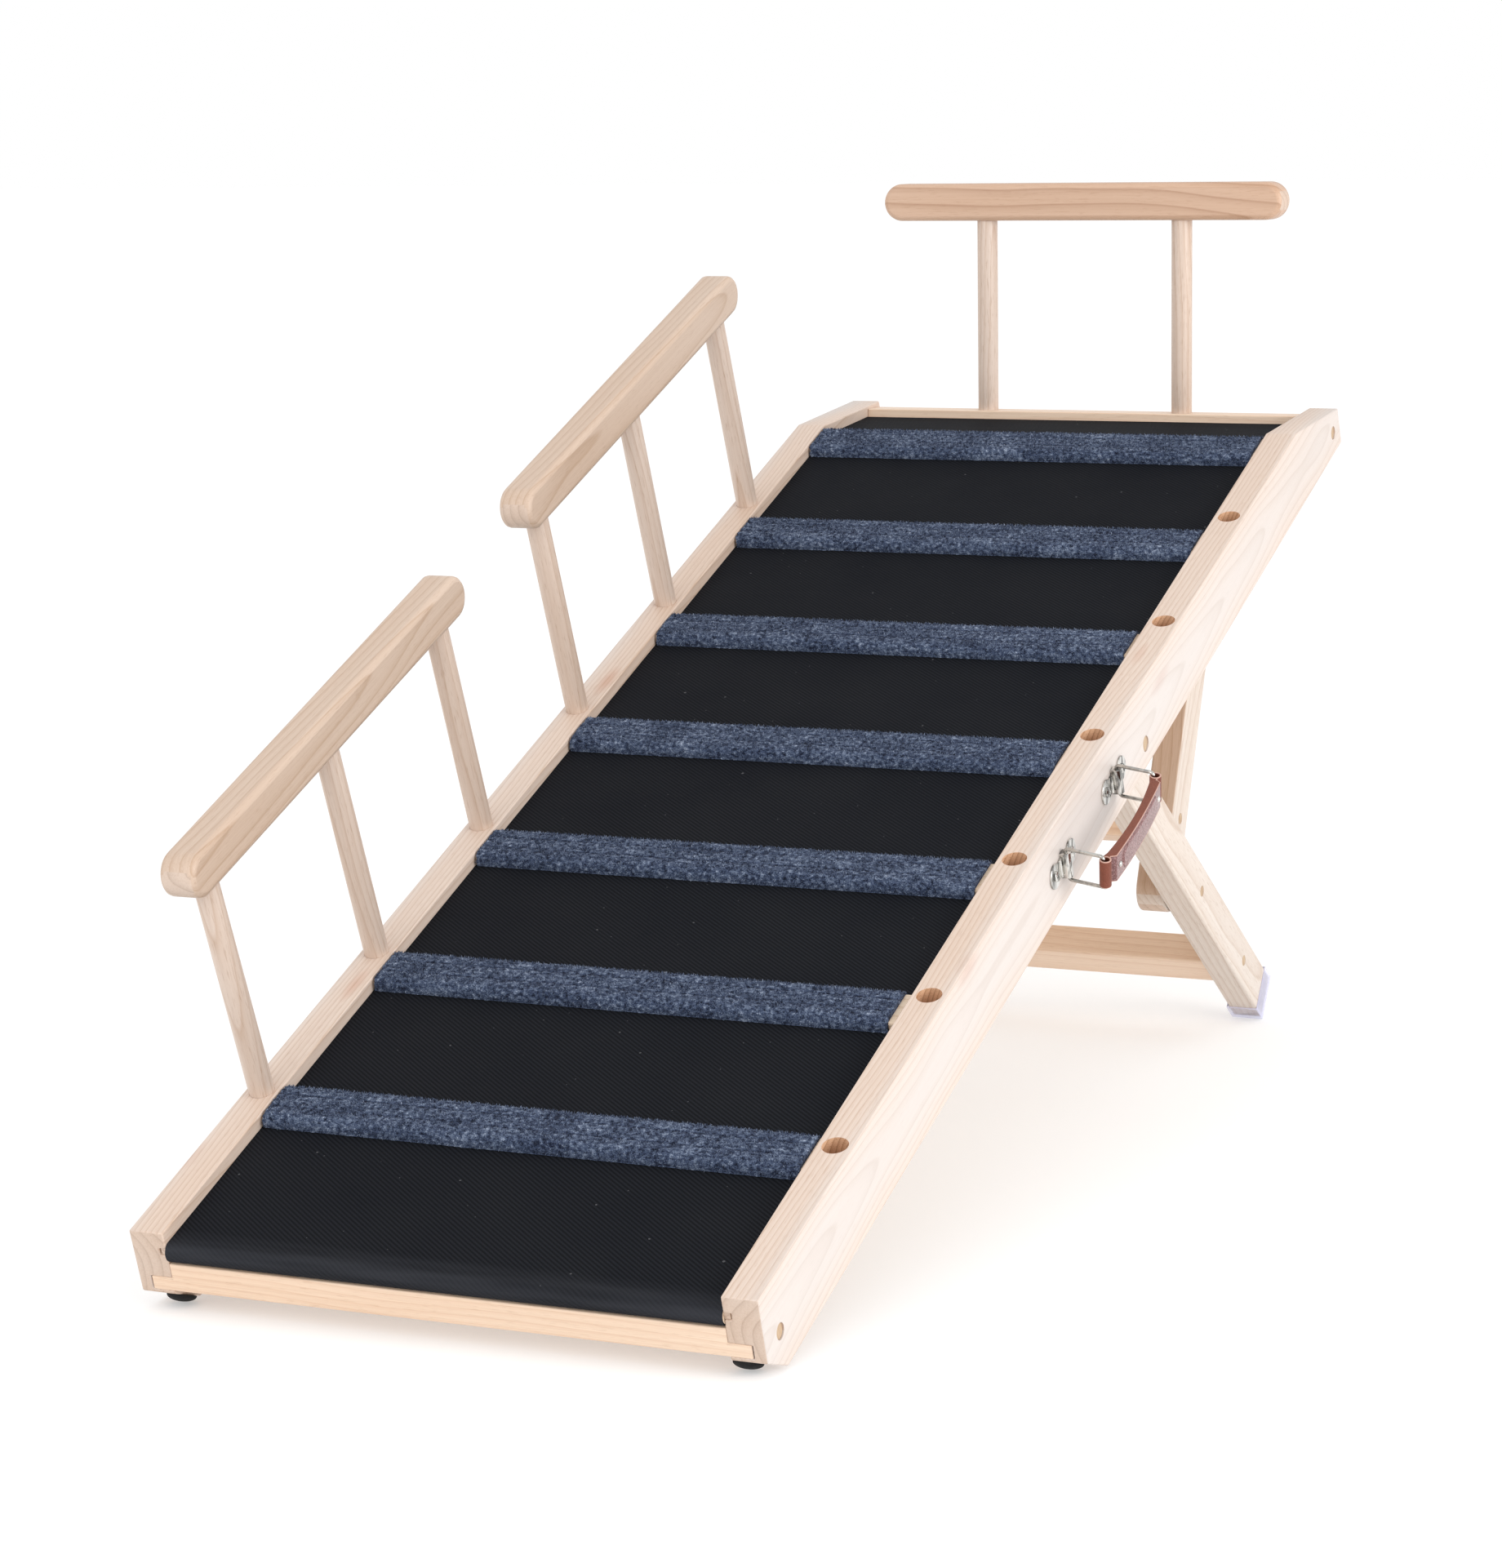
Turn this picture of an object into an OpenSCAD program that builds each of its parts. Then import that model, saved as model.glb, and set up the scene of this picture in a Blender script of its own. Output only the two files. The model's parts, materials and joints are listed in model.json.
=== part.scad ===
// Folding wooden pet ramp: a carpeted deck between two rails, a folding leg
// frame with a notched brace, lift-out guard rails and a swinging carry handle.
// Everything on the ramp is drawn in the ramp's own frame (x across, y up the
// slope, z square to the deck, rail tops at z = 0) and tilted by on_ramp().

/* [Ramp] */
// Overall width over both rails
ramp_w = 380; // [340:1:420]
// Length of the rails along the slope
ramp_len = 1107; // [1090:1:1130]
// Slope of the deck when the leg stands, degrees
pitch = 21.8; // [20:0.1:24]
// Where the rail tops break into the flatter landing
bend_y = 1006; // [1003:1:1010]
// Angle between the deck and the landing, degrees
landing_slope = 16; // [14:0.5:18]

/* [Rails] */
// Thickness of a rail
rail_t = 21.5; // [21:0.1:24]
// Depth of a rail
rail_d = 56; // [54:1:60]
// Height of a rail's front face
front_h = 38.8; // [36:0.1:42]
// How far the foot of the front face stands forward
front_lean = 3; // [1:0.5:5]
// Where the floor cut meets the underside of the rail
floor_cut_y = 18; // [14:1:24]

/* [Guard sockets] */
// Distance from the front to the first socket
socket_y0 = 137.5; // [130:0.5:145]
// Spacing of the sockets
socket_pitch = 148.4; // [145:0.1:150]
// Radius of a dowel
dowel_r = 7.5; // [7:0.1:7.6]
// Radial play of a dowel in its socket
dowel_play = 0.1; // [0.05:0.01:0.1]
// Depth of a socket
socket_depth = 34; // [28:1:36]
// How deep a dowel sits
dowel_in = 32; // [24:1:32]

/* [Guards] */
// Clear height under a side handrail
guard_gap = 142; // [120:1:160]
// Width of a handrail
handrail_w = 22.5; // [20:0.5:26]
// Height of a handrail
handrail_h = 27.2; // [24:0.1:30]
// Length of a side handrail
handrail_len = 350; // [330:1:360]
// Length of the top handrail
top_handrail_len = 308; // [280:1:330]
// Clear height under the top handrail
top_gap = 140; // [120:1:150]
// Spacing of the two top dowels
top_dowel_pitch = 151; // [140:1:160]

/* [Deck] */
// Depth of the covered deck below the rail tops
deck_drop = 7.6; // [7:0.1:9]
// Thickness of the fabric cover
cover_t = 1; // [0.8:0.1:1.2]
// Thickness of the deck board
board_t = 7.6; // [7:0.1:8]
// Middle of the first tread
tread_y0 = 131; // [125:1:135]
// Spacing of the treads
tread_pitch = 142.7; // [141:0.1:142.7]
// Length of a tread along the slope
tread_len = 35; // [30:1:36]
// Height of a tread above the deck
tread_h = 7.8; // [7:0.1:9]

/* [Leg frame] */
// Pivot of the leg, along the slope and below the rail tops
leg_pivot = [643, -40.7]; // [-50:0.1:700]
// Angle of the leg below the deck, degrees
leg_angle = 57; // [55:0.5:59]
// From the leg's pivot to the brace's pivot
leg_to_brace = 225.4; // [215:0.1:235]
// From the leg's pivot to the crossbar
leg_to_bar = 341.4; // [330:0.1:350]
// Width and depth of the leg and brace stock
stock_t = 21; // [19:0.5:21]
stock_d = 31.7; // [30:0.1:32]
// Side gap between nested frames
side_gap = 1; // [0.8:0.1:1.2]
// Height of a foot cap
cap_h = 17; // [12:1:22]

/* [Brace] */
// Angle of the brace above the deck line, degrees
brace_angle = 46; // [44:0.5:48]
// From the brace's pivot to its locking rod
brace_len = 272; // [268:0.1:276]
// From the brace's pivot to its crossbar
brace_to_bar = 49.7; // [45:0.1:60]
// Radius of the locking rod
rod_r = 6; // [5:0.5:6]
// Spacing of the notches in the racks
notch_pitch = 26; // [22:0.5:26]

/* [Handle] */
// Middle of the handle along the right rail
handle_y = 529; // [520:1:540]
// Depth of the handle below the rail top
handle_z = -30; // [-34:1:-28]
// Spacing of the two handle plates
plate_pitch = 100; // [96:1:108]
// Length of the wire loops
loop_len = 27.5; // [24:0.5:30]
// Droop of the loops towards the front, degrees
loop_droop = 14; // [5:1:20]
// Width of the grip strap
grip_w = 19; // [16:0.5:20]

/* [Hidden] */
$fn = 48;

rail_in = ramp_w / 2 - rail_t;          // inner face of a rail
rail_mid = ramp_w / 2 - rail_t / 2;
bearing_gap = 0.06;                     // running clearance of every pivot

// Panel groove and crossbar joints
groove_depth = 4.5;
tongue_top = 10;
tongue_bottom = 14.4;
tongue_len = 3.6;
nosing_t = 10;                          // the deck board is thicker along its front edge
nose_r = nosing_t / 2;
nose_y = 3;
front_bar_top = deck_drop + 2 * cover_t + nosing_t;
front_bar_bottom = 37;
front_bar_y = 30;
tenon_len = 14;
tenon_top = 28.6;
front_screw = [16.6, -32.2];
top_bar = [1090, -40.3];
top_bar_t = 22;
top_bar_d = 25;
top_socket_depth = 20;
top_dowel_in = 18;
landing_end = 80;

// Fasteners
screw_r = 2;
screw_head_r = 4;
plug_r = 4.8;
plug_depth = 6;
plug_inset = 0.8;
pivot_plug_r = 5.3;
leg_plug_r = 3.8;
bolt_r = 4;
small_bolt_r = 3;
nut_recess = 6;
bolt_head_in = 10;
bolt_plug_in = 5;
nut_play = 0.5;
nut_r = 6.5;
small_nut_r = 5.5;
nut_gap = 1;
washer_r = 9;
small_washer_r = 8;
washer_play = 0.3;
leg_head_in = 8;
leg_screw_in = 6;
screw_len = 24;
head_h = 2;
plug_h = 4;

// Leg and brace layers, from the rail inwards
leg_out = rail_in - side_gap;
leg_in = leg_out - stock_t;
brace_t = stock_t - 0.5;
brace_out = leg_in - side_gap;
brace_in = brace_out - brace_t;
cap_wall = 1.3;
cap_side_wall = 0.7;
bar_half = 16.5;
rod_inset = 8;

// Directions in the (y, z) plane of the ramp
function polar(a) = [cos(a), sin(a)];
leg_dir = polar(-leg_angle);
brace_pivot = leg_pivot + leg_to_brace * leg_dir;
rod_pos = brace_pivot + brace_len * polar(brace_angle);
leg_bar_pos = leg_pivot + leg_to_bar * leg_dir;
brace_bar_pos = brace_pivot + brace_to_bar * polar(brace_angle);

// Racks under the deck; the rod rests in the third of four notches
rack_out = brace_in - 3;
rack_t = 18;
rack_top = -deck_drop - cover_t - board_t;
rack_bottom = -50;
first_notch = rod_pos[0] - 2 * notch_pitch;
last_notch = rod_pos[0] + notch_pitch;
rack_y0 = first_notch - 36;
rack_y1 = last_notch + 21.5;
rack_screw_y = [first_notch - 28, last_notch + 14.5];
rack_head_z = rack_bottom + 15;
rack_screw_len = 24;
notch_slant = 33;
notch_play = 0.3;
notch_flare = 1;

// Rubber bumper on the floor cut
cut_vec = [floor_cut_y + front_lean, front_h - rail_d];
cut_angle = atan2(cut_vec[1], cut_vec[0]);
cut_mid = [floor_cut_y, -rail_d] - cut_vec / 2;
foot_r = 9;
foot_h = 4.2;
foot_round = 3;
foot_x = rail_in + 1.5;
foot_low = cut_mid + (foot_h - foot_round) * polar(cut_angle - 90)
         + (foot_r - foot_round) * polar(cut_angle);

// The ramp is lifted until the bumpers touch the floor, and the leg is cut to
// the length at which its caps touch it too
up = [sin(pitch), cos(pitch)];
lift = foot_round - foot_low * up;
cap_half = stock_d / 2 + cap_wall;
cap_side = polar(-leg_angle - 90);
leg_reach = -(lift + leg_pivot * up + cap_half * (cap_side * up)) / (leg_dir * up);

// Handle layers
plate_t = 1.2;
wire_r = 1.2;
band_r = 3.2;
wire_x = ramp_w / 2 + plate_t + band_r - 1;
wire_w = 22;
plate_screw_pitch = 29.5;
plate_screw_r = 1.8;
plate_screw_len = 13;
lobe_r = 8;
band_w = 17;
eyelet_r = 4.2;
grip_t = 5.5;
grip_rise = 4;
grip_half = plate_pitch / 2;
bow_r = (grip_half * grip_half + grip_rise * grip_rise) / (2 * grip_rise);
rivet_turn = 6.9;
rivet_r = 1.5;
grip_bar = [wire_x + loop_len * cos(loop_droop), -loop_len * sin(loop_droop)];
handle_out = grip_bar[0] + grip_rise + grip_t / 2;

// Treads and guards
carpet_t = 2.3;
batten_round = 1.5;
carpet_round = 3.8;
dowel_seat = 15;
side_places = [-socket_pitch, 0, socket_pitch];

// The origin is under the middle of the standing object's box
far_end = ramp_len * cos(pitch) + rail_d * sin(pitch);
origin_shift = [-(handle_out - ramp_w / 2) / 2, -far_end / 2, lift];

pine = [0.93, 0.83, 0.70];
pine_dark = [0.87, 0.72, 0.55];
fabric_black = [0.09, 0.09, 0.10];
carpet_blue = [0.27, 0.32, 0.42];
steel = [0.75, 0.75, 0.76];
rubber = [0.05, 0.05, 0.05];
pvc = [0.75, 0.80, 0.95, 0.5];
leather = [0.45, 0.22, 0.17];

// ---- helpers ----

module on_ramp() {
    translate(origin_shift) rotate([pitch, 0, 0]) children();
}

// Extrudes a (y, z) outline across the ramp from x0 to x1
module slab(x0, x1) {
    translate([x0, 0, 0]) rotate([90, 0, 90]) linear_extrude(x1 - x0) children();
}

module both_sides() {
    children();
    mirror([1, 0, 0]) children();
}

// Cylinder across the ramp from x0 to x1 at p = [y, z]
module cross_cyl(x0, x1, p, r) {
    translate([x0, p[0], p[1]]) rotate([0, 90, 0]) cylinder(r = r, h = x1 - x0);
}

// Point a along the top line from the bend and d below it
function top_pt(a, d) =
    a < 0 ? [bend_y + a, -d]
    : a == 0 ? [bend_y - d * tan(landing_slope / 2), -d]
    : [bend_y + a * cos(landing_slope) - d * sin(landing_slope),
       -a * sin(landing_slope) - d * cos(landing_slope)];

// Outline between two depths under the top line, from y0 to the distance a past the bend
module under_top(d0, d1, y0, a) {
    polygon([[y0, -d0], top_pt(0, d0), top_pt(a, d0), top_pt(a, d1), top_pt(0, d1), [y0, -d1]]);
}

function socket_y(k) = socket_y0 + k * socket_pitch;

// Every socket along one rail, drilled down from the rail top
module sockets() {
    for (k = [0:5])
        translate([rail_mid, socket_y(k), -socket_depth])
            cylinder(r = dowel_r + dowel_play, h = socket_depth + 1);
}

module at_top_bar() {
    translate([0, top_bar[0], top_bar[1]]) rotate([-pitch, 0, 0]) children();
}

// ---- fixed ramp ----

module rail_outline() {
    polygon([[0, 0], [bend_y, 0], top_pt((ramp_len - bend_y) / cos(landing_slope), 0),
             [ramp_len, -rail_d], [floor_cut_y, -rail_d], [-front_lean, -front_h]]);
}

module rail() {
    color(pine) difference() {
        slab(rail_in, ramp_w / 2) rail_outline();
        sockets();
        // groove for the deck boards
        slab(rail_in - 1, rail_in + groove_depth)
            under_top(tongue_top, tongue_bottom, -front_lean - 1, landing_end);
        // open slot for the front crossbar's tenon
        slab(rail_in - 1, rail_in + tenon_len)
            polygon([[-front_lean - 1, -tenon_top], [front_bar_y, -tenon_top],
                     [front_bar_y, -front_bar_bottom], [-front_lean - 1, -front_bar_bottom]]);
        // crossbar screws under plugs
        for (p = [front_screw, top_bar]) {
            cross_cyl(rail_in - 1, ramp_w / 2, p, screw_r);
            cross_cyl(ramp_w / 2 - plug_depth - head_h, ramp_w / 2 - plug_depth, p, screw_head_r);
            cross_cyl(ramp_w / 2 - plug_depth, ramp_w / 2 + 1, p, plug_r);
        }
        // leg pivot bolt under its plug
        cross_cyl(rail_in - 1, ramp_w / 2, leg_pivot, bolt_r);
        cross_cyl(ramp_w / 2 - bolt_head_in, ramp_w / 2 + 1, leg_pivot, pivot_plug_r);
    }
}

module left_rail() { mirror([1, 0, 0]) rail(); }

module right_rail() {
    difference() {
        rail();
        at_plate_screws() cross_cyl(ramp_w / 2 - plate_screw_len, ramp_w / 2 + 1, [0, 0], plate_screw_r);
    }
}

module front_crossbar() {
    lean = front_lean / front_h;
    color(pine) difference() {
        union() {
            slab(-rail_in, rail_in)
                polygon([[-front_bar_top * lean, -front_bar_top], [front_bar_y, -front_bar_top],
                         [front_bar_y, -front_bar_bottom], [-front_bar_bottom * lean, -front_bar_bottom]]);
            slab(-rail_in - tenon_len + 0.6, rail_in + tenon_len - 0.6)
                polygon([[-tenon_top * lean, -tenon_top], [front_bar_y, -tenon_top],
                         [front_bar_y, -front_bar_bottom], [-front_bar_bottom * lean, -front_bar_bottom]]);
        }
        both_sides() cross_cyl(rail_in - screw_len, rail_in + tenon_len + 1, front_screw, screw_r);
    }
}

module top_crossbar() {
    color(pine) difference() {
        at_top_bar()
            translate([-rail_in, -top_bar_t / 2, -top_bar_d / 2]) cube([2 * rail_in, top_bar_t, top_bar_d]);
        at_top_bar() both_sides()
            translate([top_dowel_pitch / 2, 0, top_bar_d / 2 - top_socket_depth])
                cylinder(r = dowel_r + dowel_play, h = top_socket_depth + 1);
        both_sides() cross_cyl(rail_in - screw_len, rail_in + 1, top_bar, screw_r);
    }
}

// A board of the deck with tongues in the rail grooves, drilled through with
// the rails for the guard dowels
module board() {
    color(pine_dark) difference() {
        union() {
            slab(-rail_in, rail_in) children(0);
            slab(-rail_in - tongue_len, rail_in + tongue_len) children(1);
        }
        both_sides() sockets();
        both_sides() at_rack_screws() cylinder(r = screw_r, h = rack_screw_len);
    }
}

module deck_panel() {
    d0 = deck_drop + cover_t;
    board() {
        union() {
            polygon([[nose_y, -d0], top_pt(0, d0), top_pt(0, d0 + board_t), [nose_y, -d0 - board_t]]);
            translate([nose_y, -d0 - nosing_t]) square([front_bar_y - nose_y, nosing_t]);
            translate([nose_y, -d0 - nose_r]) circle(r = nose_r);
        }
        polygon([[0, -tongue_top], top_pt(0, tongue_top), top_pt(0, tongue_bottom), [0, -tongue_bottom]]);
    }
}

module landing_panel() {
    d0 = deck_drop + cover_t;
    board() {
        polygon([top_pt(0, d0), top_pt(landing_end, d0),
                 top_pt(landing_end, d0 + board_t), top_pt(0, d0 + board_t)]);
        polygon([top_pt(0, tongue_top), top_pt(landing_end, tongue_top),
                 top_pt(landing_end, tongue_bottom), top_pt(0, tongue_bottom)]);
    }
}

// Black fabric over the deck, wrapped round the front nose onto the underside
module deck_cover() {
    d0 = deck_drop + cover_t;
    tuck_y = front_bar_y - 1;
    color(fabric_black) slab(-rail_in, rail_in) {
        under_top(deck_drop, d0, nose_y, landing_end);
        difference() {
            translate([nose_y, -d0 - nose_r]) circle(r = nose_r + cover_t);
            translate([nose_y, -d0 - nose_r]) circle(r = nose_r);
            translate([nose_y, -d0 - nosing_t - 5]) square([20, nosing_t + 10]);
        }
        translate([nose_y, -d0 - nosing_t - cover_t]) square([tuck_y - nose_y, cover_t]);
    }
}

// Cross-section of a tread, resting on the deck with its middle at y
module tread_outline(y, len, h, r) {
    translate([y - len / 2, -deck_drop]) union() {
        translate([r, 0]) square([len - 2 * r, h]);
        square([len, h - r]);
        for (c = [r, len - r]) translate([c, h - r]) circle(r = r);
    }
}

function tread_y(k) = tread_y0 + (k - 1) * tread_pitch;

module tread_batten(k) {
    color(pine_dark) slab(-rail_in + 0.5, rail_in - 0.5)
        tread_outline(tread_y(k), tread_len - 2 * carpet_t, tread_h - carpet_t, batten_round);
}

module tread_carpet(k) {
    color(carpet_blue) slab(-rail_in + 1.5, rail_in - 1.5) difference() {
        tread_outline(tread_y(k), tread_len, tread_h, carpet_round);
        tread_outline(tread_y(k), tread_len - 2 * carpet_t, tread_h - carpet_t, batten_round);
    }
}

// Slot that the locking rod drops into, slanting down towards the front and
// flaring to its mouth
module notch(y) {
    half = rod_r + notch_play;
    neck = 0.9 * half;
    mouth = half + notch_flare;
    reach = 2 * (rod_pos[1] - rack_bottom);
    translate([y, rod_pos[1]]) {
        circle(r = half);
        rotate(-90 - notch_slant)
            polygon([[0, -neck], [reach, -mouth], [reach, mouth], [0, neck]]);
    }
}

module at_rack_screws() {
    for (y = rack_screw_y) translate([rack_out - rack_t / 2, y, rack_head_z]) children();
}

// Notched rack under the deck that the locking rod rests in
module rack_at_right() {
    color(pine_dark) difference() {
        slab(rack_out - rack_t, rack_out) difference() {
            translate([rack_y0, rack_bottom]) square([rack_y1 - rack_y0, rack_top - rack_bottom]);
            for (y = [first_notch:notch_pitch:last_notch]) notch(y);
        }
        at_rack_screws() {
            cylinder(r = screw_r, h = rack_screw_len);
            translate([0, 0, -rack_screw_len]) cylinder(r = screw_head_r, h = rack_screw_len + head_h);
        }
    }
}

module left_rack() { mirror([1, 0, 0]) rack_at_right(); }
module right_rack() { rack_at_right(); }

module rack_screws() {
    color(steel) both_sides() at_rack_screws() {
        cylinder(r = screw_head_r, h = head_h);
        cylinder(r = screw_r, h = rack_screw_len);
    }
}

module rail_plugs() {
    color(pine_dark) both_sides() {
        for (p = [front_screw, top_bar])
            cross_cyl(ramp_w / 2 - plug_depth, ramp_w / 2 - plug_inset, p, plug_r);
        cross_cyl(ramp_w / 2 - bolt_plug_in, ramp_w / 2 - plug_inset, leg_pivot, pivot_plug_r);
    }
}

module rail_screws() {
    color(steel) both_sides() for (p = [front_screw, top_bar]) {
        cross_cyl(rail_in - screw_len, ramp_w / 2 - plug_depth, p, screw_r);
        cross_cyl(ramp_w / 2 - plug_depth - head_h, ramp_w / 2 - plug_depth, p, screw_head_r);
    }
}

// Domed rubber bumpers on the floor cuts
module rubber_feet() {
    color(rubber) both_sides()
        translate([foot_x, cut_mid[0], cut_mid[1]]) rotate([cut_angle + 180, 0, 0])
            rotate_extrude() difference() {
                union() {
                    square([foot_r - foot_round, foot_h]);
                    translate([foot_r - foot_round, foot_h - foot_round]) circle(r = foot_round);
                }
                translate([0, -foot_round]) square([foot_r, foot_round]);
            }
}

module leg_pivot_bolts() {
    color(steel) both_sides() {
        cross_cyl(leg_in + nut_play, ramp_w / 2 - bolt_head_in, leg_pivot, bolt_r);
        cross_cyl(ramp_w / 2 - bolt_head_in, ramp_w / 2 - bolt_plug_in, leg_pivot, pivot_plug_r);
    }
}

module leg_pivot_nuts() {
    color(steel) both_sides() difference() {
        cross_cyl(leg_in + nut_play, leg_in + nut_recess - nut_play, leg_pivot, nut_r);
        cross_cyl(leg_in, leg_in + nut_recess, leg_pivot, bolt_r);
    }
}

module leg_pivot_washers() {
    color(steel) both_sides() difference() {
        cross_cyl(leg_out + washer_play, rail_in, leg_pivot, washer_r);
        cross_cyl(leg_out, rail_in + 1, leg_pivot, bolt_r);
    }
}

// ---- leg frame ----

// Local frame of a swinging member: x along it from its pivot, y square to it
module along(p, a) {
    translate(p) rotate(a) children();
}

module member_outline(len, round_tip) {
    circle(r = stock_d / 2);
    translate([0, -stock_d / 2]) square([len, stock_d]);
    if (round_tip) translate([len, 0]) circle(r = stock_d / 2);
}

module leg_member() {
    color(pine) difference() {
        slab(leg_in, leg_out) along(leg_pivot, -leg_angle) member_outline(leg_reach - cap_wall, false);
        cross_cyl(leg_in - 1, leg_out + 1, leg_pivot, bolt_r + bearing_gap);
        cross_cyl(leg_in - 1, leg_in + nut_recess, leg_pivot, nut_r + nut_gap);
        cross_cyl(leg_in - 1, leg_out, brace_pivot, small_bolt_r);
        cross_cyl(leg_out - leg_head_in, leg_out + 1, brace_pivot, leg_plug_r);
        cross_cyl(leg_in - 1, leg_out, leg_bar_pos, screw_r);
        cross_cyl(leg_out - leg_screw_in, leg_out + 1, leg_bar_pos, leg_plug_r);
    }
}

module leg_left() { mirror([1, 0, 0]) leg_member(); }
module leg_right() { leg_member(); }

module crossbar(half_len, p, a) {
    color(pine) difference() {
        slab(-half_len, half_len) along(p, a)
            translate([-bar_half, -stock_t / 2]) square([2 * bar_half, stock_t]);
        both_sides() cross_cyl(half_len - screw_len, half_len + 1, p, screw_r);
    }
}

module leg_crossbar() { crossbar(leg_in, leg_bar_pos, -leg_angle); }

// Clear cap pushed over the end of a leg
module foot_cap() {
    color(pvc) difference() {
        slab(leg_in - cap_wall, leg_out + cap_side_wall) along(leg_pivot, -leg_angle)
            translate([leg_reach - cap_h, -cap_half]) square([cap_h, 2 * cap_half]);
        slab(leg_in, leg_out) along(leg_pivot, -leg_angle)
            translate([leg_reach - cap_h - 1, -stock_d / 2]) square([cap_h + 1 - cap_wall, stock_d]);
    }
}

module foot_cap_left() { mirror([1, 0, 0]) foot_cap(); }
module foot_cap_right() { foot_cap(); }

module leg_plugs() {
    color(pine_dark) both_sides() {
        cross_cyl(leg_out - plug_h, leg_out, leg_bar_pos, leg_plug_r);
        cross_cyl(leg_out - plug_h, leg_out, brace_pivot, leg_plug_r);
    }
}

module leg_screws() {
    color(steel) both_sides() {
        cross_cyl(leg_in - screw_len, leg_out - leg_screw_in, leg_bar_pos, screw_r);
        cross_cyl(leg_out - leg_screw_in, leg_out - plug_h, leg_bar_pos, leg_plug_r);
    }
}

module brace_pivot_bolts() {
    color(steel) both_sides() {
        cross_cyl(brace_in + nut_play, leg_out - leg_head_in, brace_pivot, small_bolt_r);
        cross_cyl(leg_out - leg_head_in, leg_out - plug_h, brace_pivot, leg_plug_r);
    }
}

module brace_pivot_nuts() {
    color(steel) both_sides() difference() {
        cross_cyl(brace_in + nut_play, brace_in + nut_recess - nut_play, brace_pivot, small_nut_r);
        cross_cyl(brace_in, brace_in + nut_recess, brace_pivot, small_bolt_r);
    }
}

module brace_pivot_washers() {
    color(steel) both_sides() difference() {
        cross_cyl(brace_out + washer_play, leg_in, brace_pivot, small_washer_r);
        cross_cyl(brace_out, leg_in + 1, brace_pivot, small_bolt_r);
    }
}

// ---- brace ----

module brace_member() {
    color(pine) difference() {
        slab(brace_in, brace_out) along(brace_pivot, brace_angle) member_outline(brace_len, true);
        cross_cyl(brace_in - 1, brace_out + 1, brace_pivot, small_bolt_r + bearing_gap);
        cross_cyl(brace_in - 1, brace_in + nut_recess, brace_pivot, small_nut_r + nut_gap);
        cross_cyl(brace_in - 1, brace_out, brace_bar_pos, screw_r);
        cross_cyl(brace_out - leg_screw_in, brace_out + 1, brace_bar_pos, leg_plug_r);
        cross_cyl(brace_in - 1, brace_in + rod_inset, rod_pos, rod_r);
    }
}

module brace_left() { mirror([1, 0, 0]) brace_member(); }
module brace_right() { brace_member(); }
module brace_crossbar() { crossbar(brace_in, brace_bar_pos, brace_angle); }

module brace_rod() {
    color(pine) cross_cyl(-brace_in - rod_inset, brace_in + rod_inset, rod_pos, rod_r);
}

module brace_plugs() {
    color(pine_dark) both_sides() cross_cyl(brace_out - plug_h, brace_out, brace_bar_pos, leg_plug_r);
}

module brace_screws() {
    color(steel) both_sides() {
        cross_cyl(brace_in - screw_len, brace_out - leg_screw_in, brace_bar_pos, screw_r);
        cross_cyl(brace_out - leg_screw_in, brace_out - plug_h, brace_bar_pos, leg_plug_r);
    }
}

// ---- guards ----

// Handrail of a given length, standing with its underside at z = 0, bored for
// dowels at the given places along it
module handrail(len, places) {
    r = handrail_h / 2;
    difference() {
        slab(-handrail_w / 2, handrail_w / 2) {
            for (s = [-1, 1]) translate([s * (len / 2 - r), r]) circle(r = r);
            translate([-(len / 2 - r), 0]) square([len - 2 * r, handrail_h]);
        }
        for (y = places) translate([0, y, -1]) cylinder(r = dowel_r, h = dowel_seat + 1);
    }
}

module side_handrail(first) {
    color(pine) translate([-rail_mid, socket_y(first + 1), guard_gap]) handrail(handrail_len, side_places);
}

module side_dowels(first) {
    color(pine) for (k = [0:2])
        translate([-rail_mid, socket_y(first + k), -dowel_in])
            cylinder(r = dowel_r, h = dowel_in + guard_gap + dowel_seat);
}

module guard_lower_handrail() { side_handrail(0); }
module guard_lower_dowels() { side_dowels(0); }
module guard_upper_handrail() { side_handrail(3); }
module guard_upper_dowels() { side_dowels(3); }

module guard_top_handrail() {
    color(pine) at_top_bar() translate([0, 0, top_bar_d / 2 + top_gap]) rotate([0, 0, 90])
        handrail(top_handrail_len, [-top_dowel_pitch / 2, top_dowel_pitch / 2]);
}

module guard_top_dowels() {
    color(pine) at_top_bar() both_sides()
        translate([top_dowel_pitch / 2, 0, top_bar_d / 2 - top_dowel_in])
            cylinder(r = dowel_r, h = top_dowel_in + top_gap + dowel_seat);
}

// ---- handle ----

function plate_y(s) = handle_y + s * plate_pitch / 2;

module at_plate_screws() {
    for (s = [-1, 1], t = [-1, 1])
        translate([0, plate_y(s) + t * plate_screw_pitch / 2, handle_z]) children();
}

// Stamped plate with a lobe at each screw and a raised band over the wire
module handle_plate(s) {
    wall = ramp_w / 2;
    waist = 11;
    color(steel) difference() {
        translate([0, plate_y(s), handle_z]) {
            for (t = [-1, 1]) cross_cyl(wall, wall + plate_t, [t * plate_screw_pitch / 2, 0], lobe_r);
            translate([wall, -plate_screw_pitch / 2, -waist / 2]) cube([plate_t, plate_screw_pitch, waist]);
            translate([wall, -band_r, -band_w / 2]) cube([wire_x - wall, 2 * band_r, band_w]);
            translate([wire_x, 0, -band_w / 2]) cylinder(r = band_r, h = band_w);
        }
        translate([wire_x, plate_y(s), handle_z - band_w])
            cylinder(r = wire_r + bearing_gap, h = 2 * band_w);
        at_plate_screws() cross_cyl(wall - 1, wall + plate_t + 1, [0, 0], plate_screw_r);
    }
}

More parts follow.
